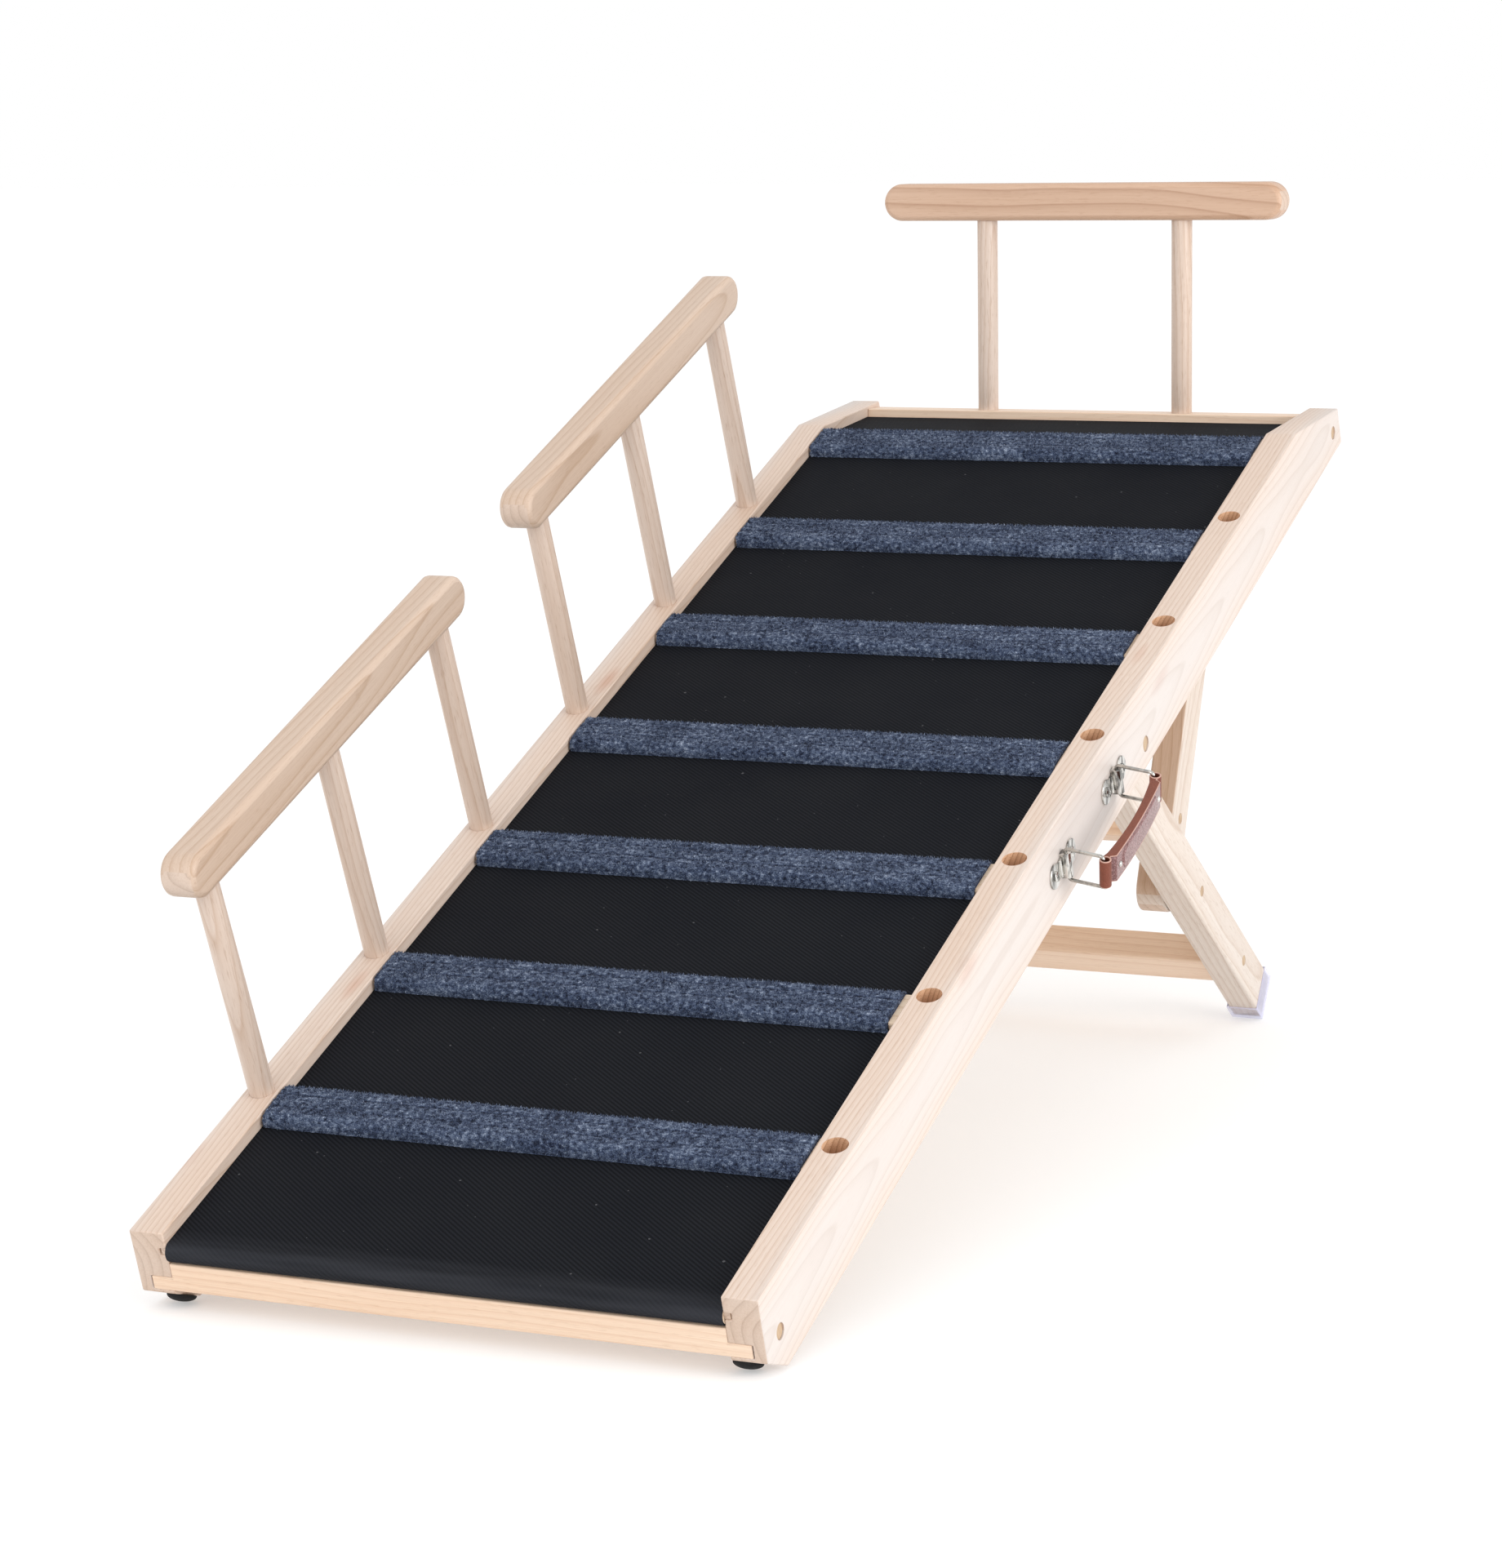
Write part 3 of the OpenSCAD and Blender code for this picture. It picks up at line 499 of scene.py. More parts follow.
def wood_piece(nodes, direction, width, pith, look, skip=(), bores=(), edges=None, name=None):
    """Softened copies of wooden CAD nodes, one piece each, with the grain along direction.

    width, the rounding of their edges, and pith are in millimetres. pith is where the growth
    rings' centre lies from the middle of each node, across the grain. skip lists (point,
    axis, radius) of round features whose rims stay sharp, and bores those whose walls are
    rough. edges is another look for the faces square to the second direction across.
    """
    features = list(skip) + list(bores)
    pith_side, pith_up = (d * MM for d in pith)
    floor_area = math.pi * SOCKET_R**2 * 1.1
    for node in nodes:
        label = name or node + "_wood"
        bm = clean_copy(node)

        def plain(edge):
            mid = (edge.verts[0].co + edge.verts[1].co) / 2
            return not any(near_line(mid, p, a, r) for p, a, r in features)

        round_edges(bm, width * MM, 3, plain)
        along, side, up = grain_frame(direction)
        middle = centre(node)
        shift = rng.uniform(0, 40)
        for f in bm.faces:
            f.material_index = ENDS if abs(f.normal.dot(along)) > 0.85 else SIDES
            # On the braces this look is darker and warmer, partly the wood's own tone and partly painted shade.
            if edges and abs(f.normal.dot(up)) > 0.85:
                f.material_index = EDGES
            if any(near_line(f.calc_center_median(), p, a, r) for p, a, r in bores):
                if abs(f.normal.dot(bores[0][1])) < 0.5 or f.calc_area() < floor_area:
                    f.material_index = BORES
        mesh = mesh_of(bm, label)
        offsets = [v.co - middle for v in mesh.vertices]
        grain = [(d.dot(along) + shift, d.dot(side) + pith_side, d.dot(up) + pith_up) for d in offsets]
        store_vectors(mesh, "grain", grain)
        looks = [woods[key] for key in (look, "end", "bore", edges) if key]
        piece = new_piece(label, mesh, body_of(node), looks)
        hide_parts(node)


def tube_mesh(name, points, radius, closed=False):
    """A round wire along points, with sixteen sides."""
    curve = bpy.data.curves.new(name, "CURVE")
    curve.dimensions = "3D"
    spline = curve.splines.new("POLY")
    spline.points.add(len(points) - 1)
    for place, p in zip(spline.points, points):
        place.co = (*p, 1)
    spline.use_cyclic_u = closed
    curve.bevel_depth = radius
    curve.bevel_resolution = 3
    curve.use_fill_caps = not closed
    holder = bpy.data.objects.new(name, curve)
    bpy.context.scene.collection.objects.link(holder)
    shaped = holder.evaluated_get(bpy.context.evaluated_depsgraph_get())
    mesh = bpy.data.meshes.new_from_object(shaped)
    bpy.data.objects.remove(holder)
    mesh.shade_smooth()
    return mesh


def grid_faces(rows, columns, wrap=False, start=0):
    """Quads between the points of a grid, optionally closed round its columns."""
    last = columns if wrap else columns - 1
    return [
        (
            start + r * columns + c,
            start + r * columns + (c + 1) % columns,
            start + (r + 1) * columns + (c + 1) % columns,
            start + (r + 1) * columns + c,
        )
        for r in range(rows - 1)
        for c in range(last)
    ]


def double_grid(rows, columns):
    """Faces round two grids of points laid over each other."""
    count = rows * columns
    faces = grid_faces(rows, columns) + grid_faces(rows, columns, start=count)
    rim = [(r * columns + c, (r + 1) * columns + c) for r in range(rows - 1) for c in (0, columns - 1)]
    rim += [(r * columns + c, r * columns + c + 1) for c in range(columns - 1) for r in (0, rows - 1)]
    return faces + [(a, b, b + count, a + count) for a, b in rim]


def solid_mesh(name, places, faces):
    """A mesh with its faces turned outwards, smooth but for its sharp edges."""
    mesh = bpy.data.meshes.new(name)
    mesh.from_pydata(places, [], faces)
    mesh.validate()
    bm = bmesh.new()
    bm.from_mesh(mesh)
    bmesh.ops.recalc_face_normals(bm, faces=bm.faces)
    bm.to_mesh(mesh)
    bm.free()
    mesh.shade_smooth()
    mesh.set_sharp_from_angle(angle=math.radians(50))
    return mesh


def quarter_turn(steps):
    return [math.pi / 2 * i / steps for i in range(steps + 1)]


def full_turn(steps):
    return [2 * math.pi * i / steps for i in range(steps)]


def join_meshes(name, meshes):
    bm = bmesh.new()
    for mesh in meshes:
        bm.from_mesh(mesh)
    return mesh_of(bm, name)


def lathe(name, base, axis, profile, dent=None):
    """A turned solid. profile lists (radius, height) from the middle of its top to that of its
    foot; dent gives a depth cut into the top at a point across the axis."""
    side = axis.cross(SLOPE if abs(axis.dot(SLOPE)) < 0.9 else NORMAL).normalized()
    other = axis.cross(side)
    steps = 48
    places = []
    for r, h in profile:
        for a in full_turn(steps):
            u, v = r * math.cos(a), r * math.sin(a)
            sunk = dent(u, v) if dent and h > 0 else 0.0
            places.append(base + side * u + other * v + axis * (h - sunk))
    faces = grid_faces(len(profile), steps, wrap=True)
    faces.append(tuple(range(steps)))
    faces.append(tuple(range((len(profile) - 1) * steps, len(profile) * steps)))
    return solid_mesh(name, places, faces)


# ---- wooden members ----

FRONT_PLUG = (16.6 * MM, -32.2 * MM)
TOP_PLUG = (1090 * MM, -40.3 * MM)
PLUG_RIM = 5.2 * MM
LEG_PLUG_RIM = 5.7 * MM
PIVOT_RIM = 8 * MM
SCREW_RIM = 4.4 * MM
ROD_RIM = 6.5 * MM
LEG_SCREW = 341.4 * MM
BRACE_SCREW = 49.7 * MM


def socket_lines(sides):
    """Lines down the sockets of the rails on these sides."""
    radius = SOCKET_R + 0.4 * MM
    return [(on_ramp(side * RAIL_MID, y, 0), NORMAL, radius) for side in sides for y in SOCKET_Y]


def top_dowel_lines(node, radius):
    """Lines down the top guard's dowels where they meet a node."""
    middle = centre(node)
    places = [Vector((s * TOP_DOWEL_X + ORIGIN.x, middle.y, middle.z)) for s in (-1, 1)]
    return [(place, PLUMB, radius) for place in places]


def cross_line(point, radius):
    """A line across the ramp through a point."""
    return Vector((0, point.y, point.z)), ACROSS, radius


def make_rails():
    plugs = [cross_line(on_ramp(0, *place), PLUG_RIM) for place in (FRONT_PLUG, TOP_PLUG)]
    plugs.append(cross_line(LEG_PIVOT, LEG_PLUG_RIM))
    for side, node in ((-1, "left_rail"), (1, "right_rail")):
        sockets = socket_lines([side])
        # The pith lies outside each rail, so the grey painted round it falls on the rail's outer face as a painted
        # highlight.
        wood_piece([node], SLOPE, 0.9, (side * -46, 9), "rail", plugs, sockets)


def make_frame_wood():
    """The legs, the brace, their crossbars and those of the ramp, and the racks."""
    holes = [cross_line(pivot, PIVOT_RIM) for pivot in (BRACE_PIVOT, LEG_PIVOT)]
    holes.append(cross_line(LEG_PIVOT + LEG_DIR * LEG_SCREW, SCREW_RIM))
    holes.append(cross_line(BRACE_PIVOT + BRACE_DIR * BRACE_SCREW, SCREW_RIM))
    holes.append(cross_line(ROD, ROD_RIM))
    wood_piece(["leg_left", "leg_right"], LEG_DIR, 1.6, (38, 12), "face", holes)
    braces = ["brace_left", "brace_right"]
    # The braces' front and back faces take the darker, warmer rich look: partly the wood's own tone, partly the
    # painted warm shade of faces in the shadow of the ramp.
    wood_piece(braces, BRACE_DIR, 1.6, (30, -16), "face", holes, edges="rich")
    wood_piece(["leg_crossbar"], ACROSS, 1.4, (26, 22), "bar")
    wood_piece(["brace_crossbar"], ACROSS, 1.4, (20, 34), "bar")
    wood_piece(["brace_rod"], ACROSS, 0.2, (14, 9), "face")
    wood_piece(["front_crossbar"], ACROSS, 0.7, (18, 30), "bar")
    wood_piece(["left_rack", "right_rack"], SLOPE, 0.6, (18, 24), "board")
    sockets = top_dowel_lines("top_crossbar", SOCKET_R + 0.5 * MM)
    wood_piece(["top_crossbar"], ACROSS, 0.9, (40, 12), "bar", sockets)


def make_boards():
    skip = socket_lines([-1, 1])
    wood_piece(["deck_panel"], SLOPE, 0.2, (4, 160), "board", skip, name="deck_board")
    wood_piece(["landing_panel"], SLOPE, 0.2, (9, 150), "board", name="landing_board")
    battens = [f"tread_batten_{k + 1}" for k in range(TREADS)]
    wood_piece(battens, ACROSS, 0.2, (25, 14), "board")


def make_guard(which, along, pith, look, holes, upright):
    """A handrail with well rounded edges, and its dowels."""
    wood_piece([f"guard_{which}_handrail"], along, 3.6, pith, look, holes)
    name = f"guard_{which}_dowel_wood"
    wood_piece([f"guard_{which}_dowels"], upright, 0.3, (12, 30), "dowel", name=name)


def make_guards():
    for first, which in ((0, "lower"), (3, "upper")):
        holes = [(on_ramp(-RAIL_MID, y, 0), NORMAL, DOWEL_RIM) for y in SOCKET_Y[first : first + 3]]
        make_guard(which, SLOPE, (-34, rng.uniform(4, 12)), "rich", holes, NORMAL)
    holes = top_dowel_lines("guard_top_handrail", DOWEL_RIM)
    make_guard("top", ACROSS, (34, 12), "tan", holes, PLUMB)


# ---- deck cover ----

DECK_DROP = 7.6 * MM
COVER_T = 1.0 * MM
NOSING_T = 10 * MM
BEND_Y = 1006 * MM
LANDING = math.radians(16)
LANDING_END = 80 * MM
NOSE_Y = 3 * MM
TUCK_Y = 29 * MM
CLOTH_STEP = 8 * MM
CLOTH_ROOM = 0.25 * MM
CLOTH_WAVE = 0.12 * MM


def deck_path(depth):
    """(y, z, length so far) along a face of the cloth that lies at a depth below the rail tops,
    from the tuck under the nose, round it, up the deck and down the landing."""
    nose_z = -DECK_DROP - COVER_T - NOSING_T / 2
    radius = NOSING_T / 2 + COVER_T - (depth - DECK_DROP)
    points = []
    under = 8
    for i in range(under):
        points.append((TUCK_Y + (NOSE_Y - TUCK_Y) * i / under, nose_z - radius))
    turns = 18
    for i in range(turns):
        a = -math.pi / 2 - math.pi * i / turns
        points.append((NOSE_Y + radius * math.cos(a), nose_z + radius * math.sin(a)))
    bend = BEND_Y - depth * math.tan(LANDING / 2)
    runs = round((bend - NOSE_Y) / CLOTH_STEP)
    for i in range(runs):
        points.append((NOSE_Y + (bend - NOSE_Y) * i / runs, -depth))
    end = (
        BEND_Y + LANDING_END * math.cos(LANDING) - depth * math.sin(LANDING),
        -LANDING_END * math.sin(LANDING) - depth * math.cos(LANDING),
    )
    ends = 14
    for i in range(ends + 1):
        points.append((bend + (end[0] - bend) * i / ends, -depth + (end[1] + depth) * i / ends))
    path = []
    length = 0.0
    for i, (y, z) in enumerate(points):
        if i:
            length += math.dist(points[i - 1], points[i])
        path.append((y, z, length))
    return path


def make_cover():
    """The black cloth, stretched over the deck and tucked under its nose."""
    outer = deck_path(DECK_DROP)
    inner = deck_path(DECK_DROP + COVER_T)
    columns = 61
    half = RAIL_IN - CLOTH_ROOM
    places = []
    cloth = []
    for path, lift in ((outer, CLOTH_WAVE), (inner, 0.0)):
        for y, z, s in path:
            for c in range(columns):
                x = -half + 2 * half * c / (columns - 1)
                wave = lift * noise.noise(Vector((x * 18, s * 18, 0.3)))
                places.append(on_ramp(x, y, z + wave - lift * 0.6))
                cloth.append((x, s, 0))
    mesh = solid_mesh("deck_cloth", places, double_grid(len(outer), columns))
    store_vectors(mesh, "cloth", cloth)
    piece = new_piece("deck_cloth", mesh, "ramp", [make_deck_fabric()])
    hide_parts("deck_cover")


# ---- treads ----

TREADS = 7
TREAD_Y = [(131 + 142.7 * k) * MM for k in range(TREADS)]
TREAD_LEN = 35 * MM
TREAD_H = 7.8 * MM
CARPET_T = 2.3 * MM
CARPET_R = 6.4 * MM
CARPET_END = 1.5 * MM
SHORT_END = {1: 4.6 * MM, 2: 3.2 * MM, 4: 2.6 * MM}  # carpets that leave the batten's end bare
INNER_R = 1.5 * MM
INNER_ROWS = 22
ROWS_BETWEEN = 20
SEED_STEP = 3.1
RIB_PITCH = TREAD_LEN / 3
RIB_GROOVE = 0.9 * MM
TUFTS = 8500
TUFT_R = 0.42 * MM
TUFT_ROOT = 0.5 * MM
TUFT_EDGE = 0.6 * MM
TUFT_HEIGHT = (1.1, 2.1)
TUFT_LEAN = (-0.7, 0.7)
WORN = 0.35


def tread_outline(inset, corner):
    """Points over a tread from its foot at the front to its foot at the back, and their normals."""
    half = TREAD_LEN / 2 - inset
    top = TREAD_H - inset
    rise = 5
    turn = 7
    flat = 34
    front = [(-half, t * (top - corner) / rise, -1.0, 0.0) for t in range(rise)]
    for i in range(turn + 1):
        a = math.pi - math.pi / 2 * i / turn
        y = -half + corner + corner * math.cos(a)
        front.append((y, top - corner + corner * math.sin(a), math.cos(a), math.sin(a)))
    width = 2 * (half - corner)
    middle = [(-half + corner + width * i / flat, top, 0.0, 1.0) for i in range(1, flat)]
    back = [(-y, z, -ny, nz) for y, z, ny, nz in reversed(front)]
    return front + middle + back


def rib_groove(y):
    """How deep in a worn groove a place on the tread's top lies, from 0 to 1."""
    off = np.abs((y / RIB_PITCH) % 1.0 - 0.5) * RIB_PITCH
    return np.clip(1 - off / RIB_GROOVE, 0, 1) * (np.abs(y) < RIB_PITCH)


def pile_height(x, y, z, seed):
    """How far the pile stands out at a point of the carpet: loops, fibres and the worn ribs."""
    loop = noise.noise(Vector((x * 430, y * 430, z * 430 + seed)))
    fibre = noise.noise(Vector((x * 1150, y * 1150, z * 1150 + seed)))
    lump = noise.noise(Vector((x * 45, y * 90, seed + 9)))
    groove = float(rib_groove(y)) * (0.65 + 0.5 * lump)
    return (0.5 * loop + 0.3 * fibre + 0.25 * lump - 0.8 * groove) * MM


def make_tread_carpet(k, material):
    """Looped carpet wrapped over one batten, open to the deck. Its inner face has fewer rows."""
    outline = tread_outline(0, CARPET_R)
    inner = tread_outline(CARPET_T, INNER_R)
    count = len(outline)
    stride = ROWS_BETWEEN
    rows = 1 + (INNER_ROWS - 1) * stride
    run = [0.0]
    for p, q in zip(outline, outline[1:]):
        run.append(run[-1] + math.dist(p[:2], q[:2]))
    half = RAIL_IN - CARPET_END
    right = RAIL_IN - SHORT_END.get(k, CARPET_END)
    seed = SEED_STEP * k
    places = []
    cloth = []
    for r in range(rows):
        x = -half + (half + right) * r / (rows - 1)
        at_end = r in (0, rows - 1)
        for c, (y, z, ny, nz) in enumerate(outline):
            push = pile_height(x, y, z, seed) * (0.3 if at_end else 1.0)
            if c in (0, count - 1):
                push = max(push, 0)
            shake = 0.35 * MM * noise.noise(Vector((x * 700, (y + z) * 700, seed + 5)))
            if at_end:
                shake = 1.1 * MM * noise.noise(Vector((y * 500, z * 500, seed + r)))
            places.append(on_ramp(x + shake, TREAD_Y[k] + y + ny * push, -DECK_DROP + z + nz * push))
            # The pile's height goes to the material, which paints it darker where it is lower.
            cloth.append((x + seed, run[c], push))
    for r in range(0, rows, stride):
        x = -half + (half + right) * r / (rows - 1)
        for c, (y, z, _, _) in enumerate(inner):
            places.append(on_ramp(x, TREAD_Y[k] + y, -DECK_DROP + z))
            # Painted shade: the inner face is given a low pile, so it is coloured dark.
            cloth.append((x + seed, run[c], -0.5 * MM))
    total = rows * count
    faces = [tuple(reversed(f)) for f in grid_faces(rows, count)]
    faces += grid_faces(INNER_ROWS, count, start=total)
    for i in range(INNER_ROWS - 1):
        for c in (0, count - 1):
            outside = [(i * stride + t) * count + c for t in range(stride + 1)]
            inside = [total + (i + 1) * count + c, total + i * count + c]
            strip = outside + inside
            faces.append(tuple(strip) if c == 0 else tuple(reversed(strip)))
    for c in range(count - 1):
        for r, i in ((0, 0), (rows - 1, INNER_ROWS - 1)):
            a, b = r * count + c, total + i * count + c
            quad = (a, a + 1, b + 1, b)
            faces.append(tuple(reversed(quad)) if r == 0 else quad)
    mesh = bpy.data.meshes.new(f"tread_{k + 1}_pile")
    mesh.from_pydata(places, [], faces)
    mesh.validate()
    mesh.shade_smooth()
    store_vectors(mesh, "cloth", cloth)
    piece = new_piece(f"tread_{k + 1}_pile", mesh, "ramp", [material])
    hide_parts(f"tread_carpet_{k + 1}")
    make_tufts(k, outline, run, (-half, right), material)


def make_tufts(k, outline, run, ends, material):
    """Short loose yarn ends standing in one tread's pile, each a slim three-sided spike."""
    chance = np.random.default_rng(40 + k)
    count = TUFTS
    x = chance.uniform(*ends, count)
    s = chance.uniform(TUFT_EDGE, run[-1] - TUFT_EDGE, count)
    y, z, ny, nz = (np.interp(s, run, [p[i] for p in outline]) for i in range(4))
    axes = np.array([ACROSS, SLOPE, NORMAL])
    up = np.stack([np.zeros(count), ny, nz], 1)
    along = np.stack([np.zeros(count), nz, -ny], 1)
    root = np.stack([x, TREAD_Y[k] + y, -DECK_DROP + z], 1) - up * TUFT_ROOT
    groove = rib_groove(y) > 0
    height = chance.uniform(*TUFT_HEIGHT, (count, 1)) * MM * np.where(groove, WORN, 1.0)[:, None]
    lean = chance.uniform(*TUFT_LEAN, (count, 2)) * MM
    sideways = np.array([1.0, 0.0, 0.0])
    tip = root + up * height + along * lean[:, :1] + sideways * lean[:, 1:]
    turn = chance.uniform(0, 2 * math.pi, count)
    corners = []
    for i in range(3):
        a = turn + 2 * math.pi * i / 3
        corners.append(root + TUFT_R * (along * np.cos(a)[:, None] + sideways * np.sin(a)[:, None]))
    points = np.stack([*corners, tip], 1).reshape(-1, 3)
    # Painted shade: each tuft is coloured dark at its root, and darker still in the worn grooves.
    shade_height = np.zeros((count, 4))
    shade_height[:, :3] = -0.4 * MM
    shade_height[:, 3] = chance.uniform(-0.5, 1.1, count) * MM - np.where(groove, 0.9 * MM, 0)
    place = np.stack([np.repeat(x + SEED_STEP * k, 4), np.repeat(s, 4), shade_height.ravel()], 1)
    first = np.arange(count)[:, None] * 4
    faces = np.concatenate([first + np.array(f) for f in ((0, 1, 3), (1, 2, 3), (2, 0, 3), (2, 1, 0))])
    mesh = bpy.data.meshes.new(f"tread_{k + 1}_tufts")
    mesh.from_pydata((points @ axes + np.array(ORIGIN)).tolist(), [], faces.tolist())
    store_vectors(mesh, "cloth", place)
    new_piece(f"tread_{k + 1}_tufts", mesh, "ramp", [material])


# ---- feet and foot caps ----

FOOT_R = 8.3 * MM
FOOT_TIP = 0.1 * MM
FOOT_BRIM = 0.4 * MM
FOOT_RISE = 3.6 * MM
FOOT_IN = 6.2 * MM


def make_feet(rubber):
    """Flat rubber domes under the rails' front corners."""
    pads = frame["nodes"]["rubber_feet"].data
    low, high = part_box("rubber_feet")
    up = max(pads.polygons, key=lambda f: f.area).normal
    top = max(v.co.dot(up) for v in pads.vertices)
    turns = quarter_turn(12)
    dome = [(FOOT_TIP + FOOT_R * math.sin(t), FOOT_BRIM + FOOT_RISE * math.cos(t)) for t in turns]
    dome.append((FOOT_R, 0))
    feet = []
    for x in (low.x + FOOT_IN, high.x - FOOT_IN):
        middle = Vector((x, (low.y + high.y) / 2, (low.z + high.z) / 2))
        base = middle + up * (top - middle.dot(up))
        feet.append(lathe("foot", base, -up, dome))
    piece = new_piece("rubber_domes", join_meshes("rubber_domes", feet), "ramp", [rubber])
    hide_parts("rubber_feet")


def make_foot_caps(vinyl):
    """The legs' clear vinyl caps. Their front and back walls look thinner than the sides."""
    through = LEG_DIR.cross(ACROSS)
    for side in ("left", "right"):
        node = f"foot_cap_{side}"
        bm = clean_copy(node)
        round_edges(bm, 0.55 * MM, 3, lambda e: True)
        mesh = mesh_of(bm, node + "_vinyl")
        for face in mesh.polygons:
            face.material_index = int(abs(face.normal.dot(through)) > 0.9)
        piece = new_piece(node + "_vinyl", mesh, "leg_frame", vinyl)
        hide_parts(node)


# ---- handle ----

WIRE_X = 193.4 * MM
WIRE_R = 1.2 * MM
WIRE_W = 22 * MM
WIRE_BEND = 2.4 * MM
LOOP_LEN = 27.5 * MM
DROOP = math.radians(14)
HANDLE_Y = 529 * MM
HANDLE_Z = -30 * MM
PLATE_PITCH = 100 * MM
PLATE_FACE = 191.2 * MM
SCREW_PITCH = 29.5 * MM
RIDGE_OFF = 5.2 * MM
RIDGE_HALF = 6 * MM
RIDGE_R = 0.9 * MM
HEAD_R = 3.2 * MM
SHANK_R = 1.75 * MM


def fillet(corners, radius):
    """A closed outline through corners with each one rounded."""
    made = []
    n = len(corners)
    for i, corner in enumerate(corners):
        before = (corners[i - 1] - corner).normalized()
        after = (corners[(i + 1) % n] - corner).normalized()
        start, end = corner + before * radius, corner + after * radius
        middle = corner + (before + after) * radius
        for a in quarter_turn(6):
            made.append(middle + (start - middle) * math.cos(a) + (end - middle) * math.sin(a))
    return made


def make_loops(wire):
    """The square wire loops, drooping towards the ramp's foot."""
    for which, side in (("lower", -1), ("upper", 1)):
        y = HANDLE_Y + side * PLATE_PITCH / 2
        out = Vector((math.cos(DROOP), -math.sin(DROOP)))
        low, high = -WIRE_W / 2, WIRE_W / 2
        corners = [
            on_ramp(WIRE_X + out.x * d, y + out.y * d, HANDLE_Z + z)
            for d, z in ((0, low), (LOOP_LEN, low), (LOOP_LEN, high), (0, high))
        ]
        name = f"loop_{which}_wire"
        node = f"handle_loop_{which}"
        mesh = tube_mesh(name, fillet(corners, WIRE_BEND), WIRE_R, closed=True)
        piece = new_piece(name, mesh, node, [wire])
        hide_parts(node)


def make_plates(nickel):
    """The stamped plates, with a ridge pressed up on each side of the band."""
    for node, side in (("handle_plate_lower", -1), ("handle_plate_upper", 1)):
        bm = clean_copy(node)
        round_edges(bm, 0.3 * MM, 2, lambda e: e.calc_length() > 0.2 * MM)
        middle = HANDLE_Y + side * PLATE_PITCH / 2
        parts = [mesh_of(bm, node + "_sheet")]
        for y in (middle - RIDGE_OFF, middle + RIDGE_OFF):
            ends = [on_ramp(PLATE_FACE, y, HANDLE_Z + z) for z in (-RIDGE_HALF, RIDGE_HALF)]
            parts.append(tube_mesh("ridge", ends, RIDGE_R))
        name = node + "_stamped"
        piece = new_piece(name, join_meshes(name, parts), "ramp", [nickel])
        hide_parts(node)


def cross_recess(u, v):
    """Depth of a screw's cross recess at a point of its head."""
    across, reach = min(abs(u), abs(v)), max(abs(u), abs(v))
    if reach > 2.0 * MM:
        return 0.0
    return 1.1 * MM * min(1.0, max(0.0, (0.75 * MM - across) / (0.3 * MM)))


def make_handle_screws(nickel):
    """Pan-head screws with a cross recess."""
    head = [(HEAD_R * j / 12, (1.75 - 0.9 * (j / 12) ** 3) * MM) for j in range(13)]
    profile = head + [(HEAD_R, 0.0), (SHANK_R, 0.0), (SHANK_R, -12 * MM), (0.2 * MM, -14 * MM)]
    screws = []
    for side in (-1, 1):
        for t in (-1, 1):
            y = HANDLE_Y + side * PLATE_PITCH / 2 + t * SCREW_PITCH / 2
            base = on_ramp(PLATE_FACE - 0.02 * MM, y, HANDLE_Z)
            screws.append(lathe("screw", base, ACROSS, profile, cross_recess))
    piece = new_piece("plate_screws", join_meshes("plate_screws", screws), "ramp", [nickel])
    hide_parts("handle_screws")


def make_fasteners(steel, nickel):
    """Gives the CAD fasteners that stay in view their metal."""
    for node, o in frame["nodes"].items():
        if slot_of(node) in ("steel", "nickel") and not o.hide_render:
            o.data.materials.clear()
            o.data.materials.append(nickel if slot_of(node) == "nickel" else steel)


GRIP_W = 18.2 * MM
GRIP_HALF = PLATE_PITCH / 2
GRIP_LEAN = math.radians(7)
RING_R = 3.7 * MM
RING_HOLE = 2.6 * MM
RING_TURN = math.radians(134)
RIVET_AT = 38.2 * MM
SKIN_EDGE = 0.35 * MM
RING_END = 2.5 * MM
DIP_END = 4.4 * MM
PAD_HALF = 34.4 * MM
RIVET_R = 1.9 * MM
RIVET_RISE = 1.35 * MM
RIVET_SHANK = 1.1 * MM
SKIN, LINING, RIM = range(3)
BAR = (WIRE_X + LOOP_LEN * math.cos(DROOP), HANDLE_Y - LOOP_LEN * math.sin(DROOP))


def on_grip(a, b, z):
    """A point of the strap: a outwards, b along, z up from the middle of the line between its wires.
    The strap hangs loose in its wires, so its upper edge leans out."""
    out = a * math.cos(GRIP_LEAN) + z * math.sin(GRIP_LEAN)
    rise = z * math.cos(GRIP_LEAN) - a * math.sin(GRIP_LEAN)
    return on_ramp(BAR[0] + out, BAR[1] + b, HANDLE_Z + rise)


def smooth(t):
    """An even rise from 0 to 1."""
    t = min(1.0, max(0.0, t))
    return t * t * (3 - 2 * t)


def grip_inner(b):
    """The strap's inner face, bowed out in the middle."""
    d = GRIP_HALF - abs(b)
    body = (1.5 - 4.0 * (b / GRIP_HALF) ** 2) * MM
    start = -RING_R * math.sin(RING_TURN)
    return start + (body - start) * smooth((d - RING_END) / (5.5 * MM))


def grip_outer(b):
    """The strap's outer face: it dips where the end is rolled round the wire."""
    d = GRIP_HALF - abs(b)
    body = (6.7 - 2.0 * (b / GRIP_HALF) ** 2) * MM
    start = RING_R * math.sin(RING_TURN)
    dip = 1.8 * MM
    if d < DIP_END:
        return start + (dip - start) * smooth((d - RING_END) / (DIP_END - RING_END))
    return dip + (body - dip) * smooth((d - DIP_END) / (2.0 * MM))


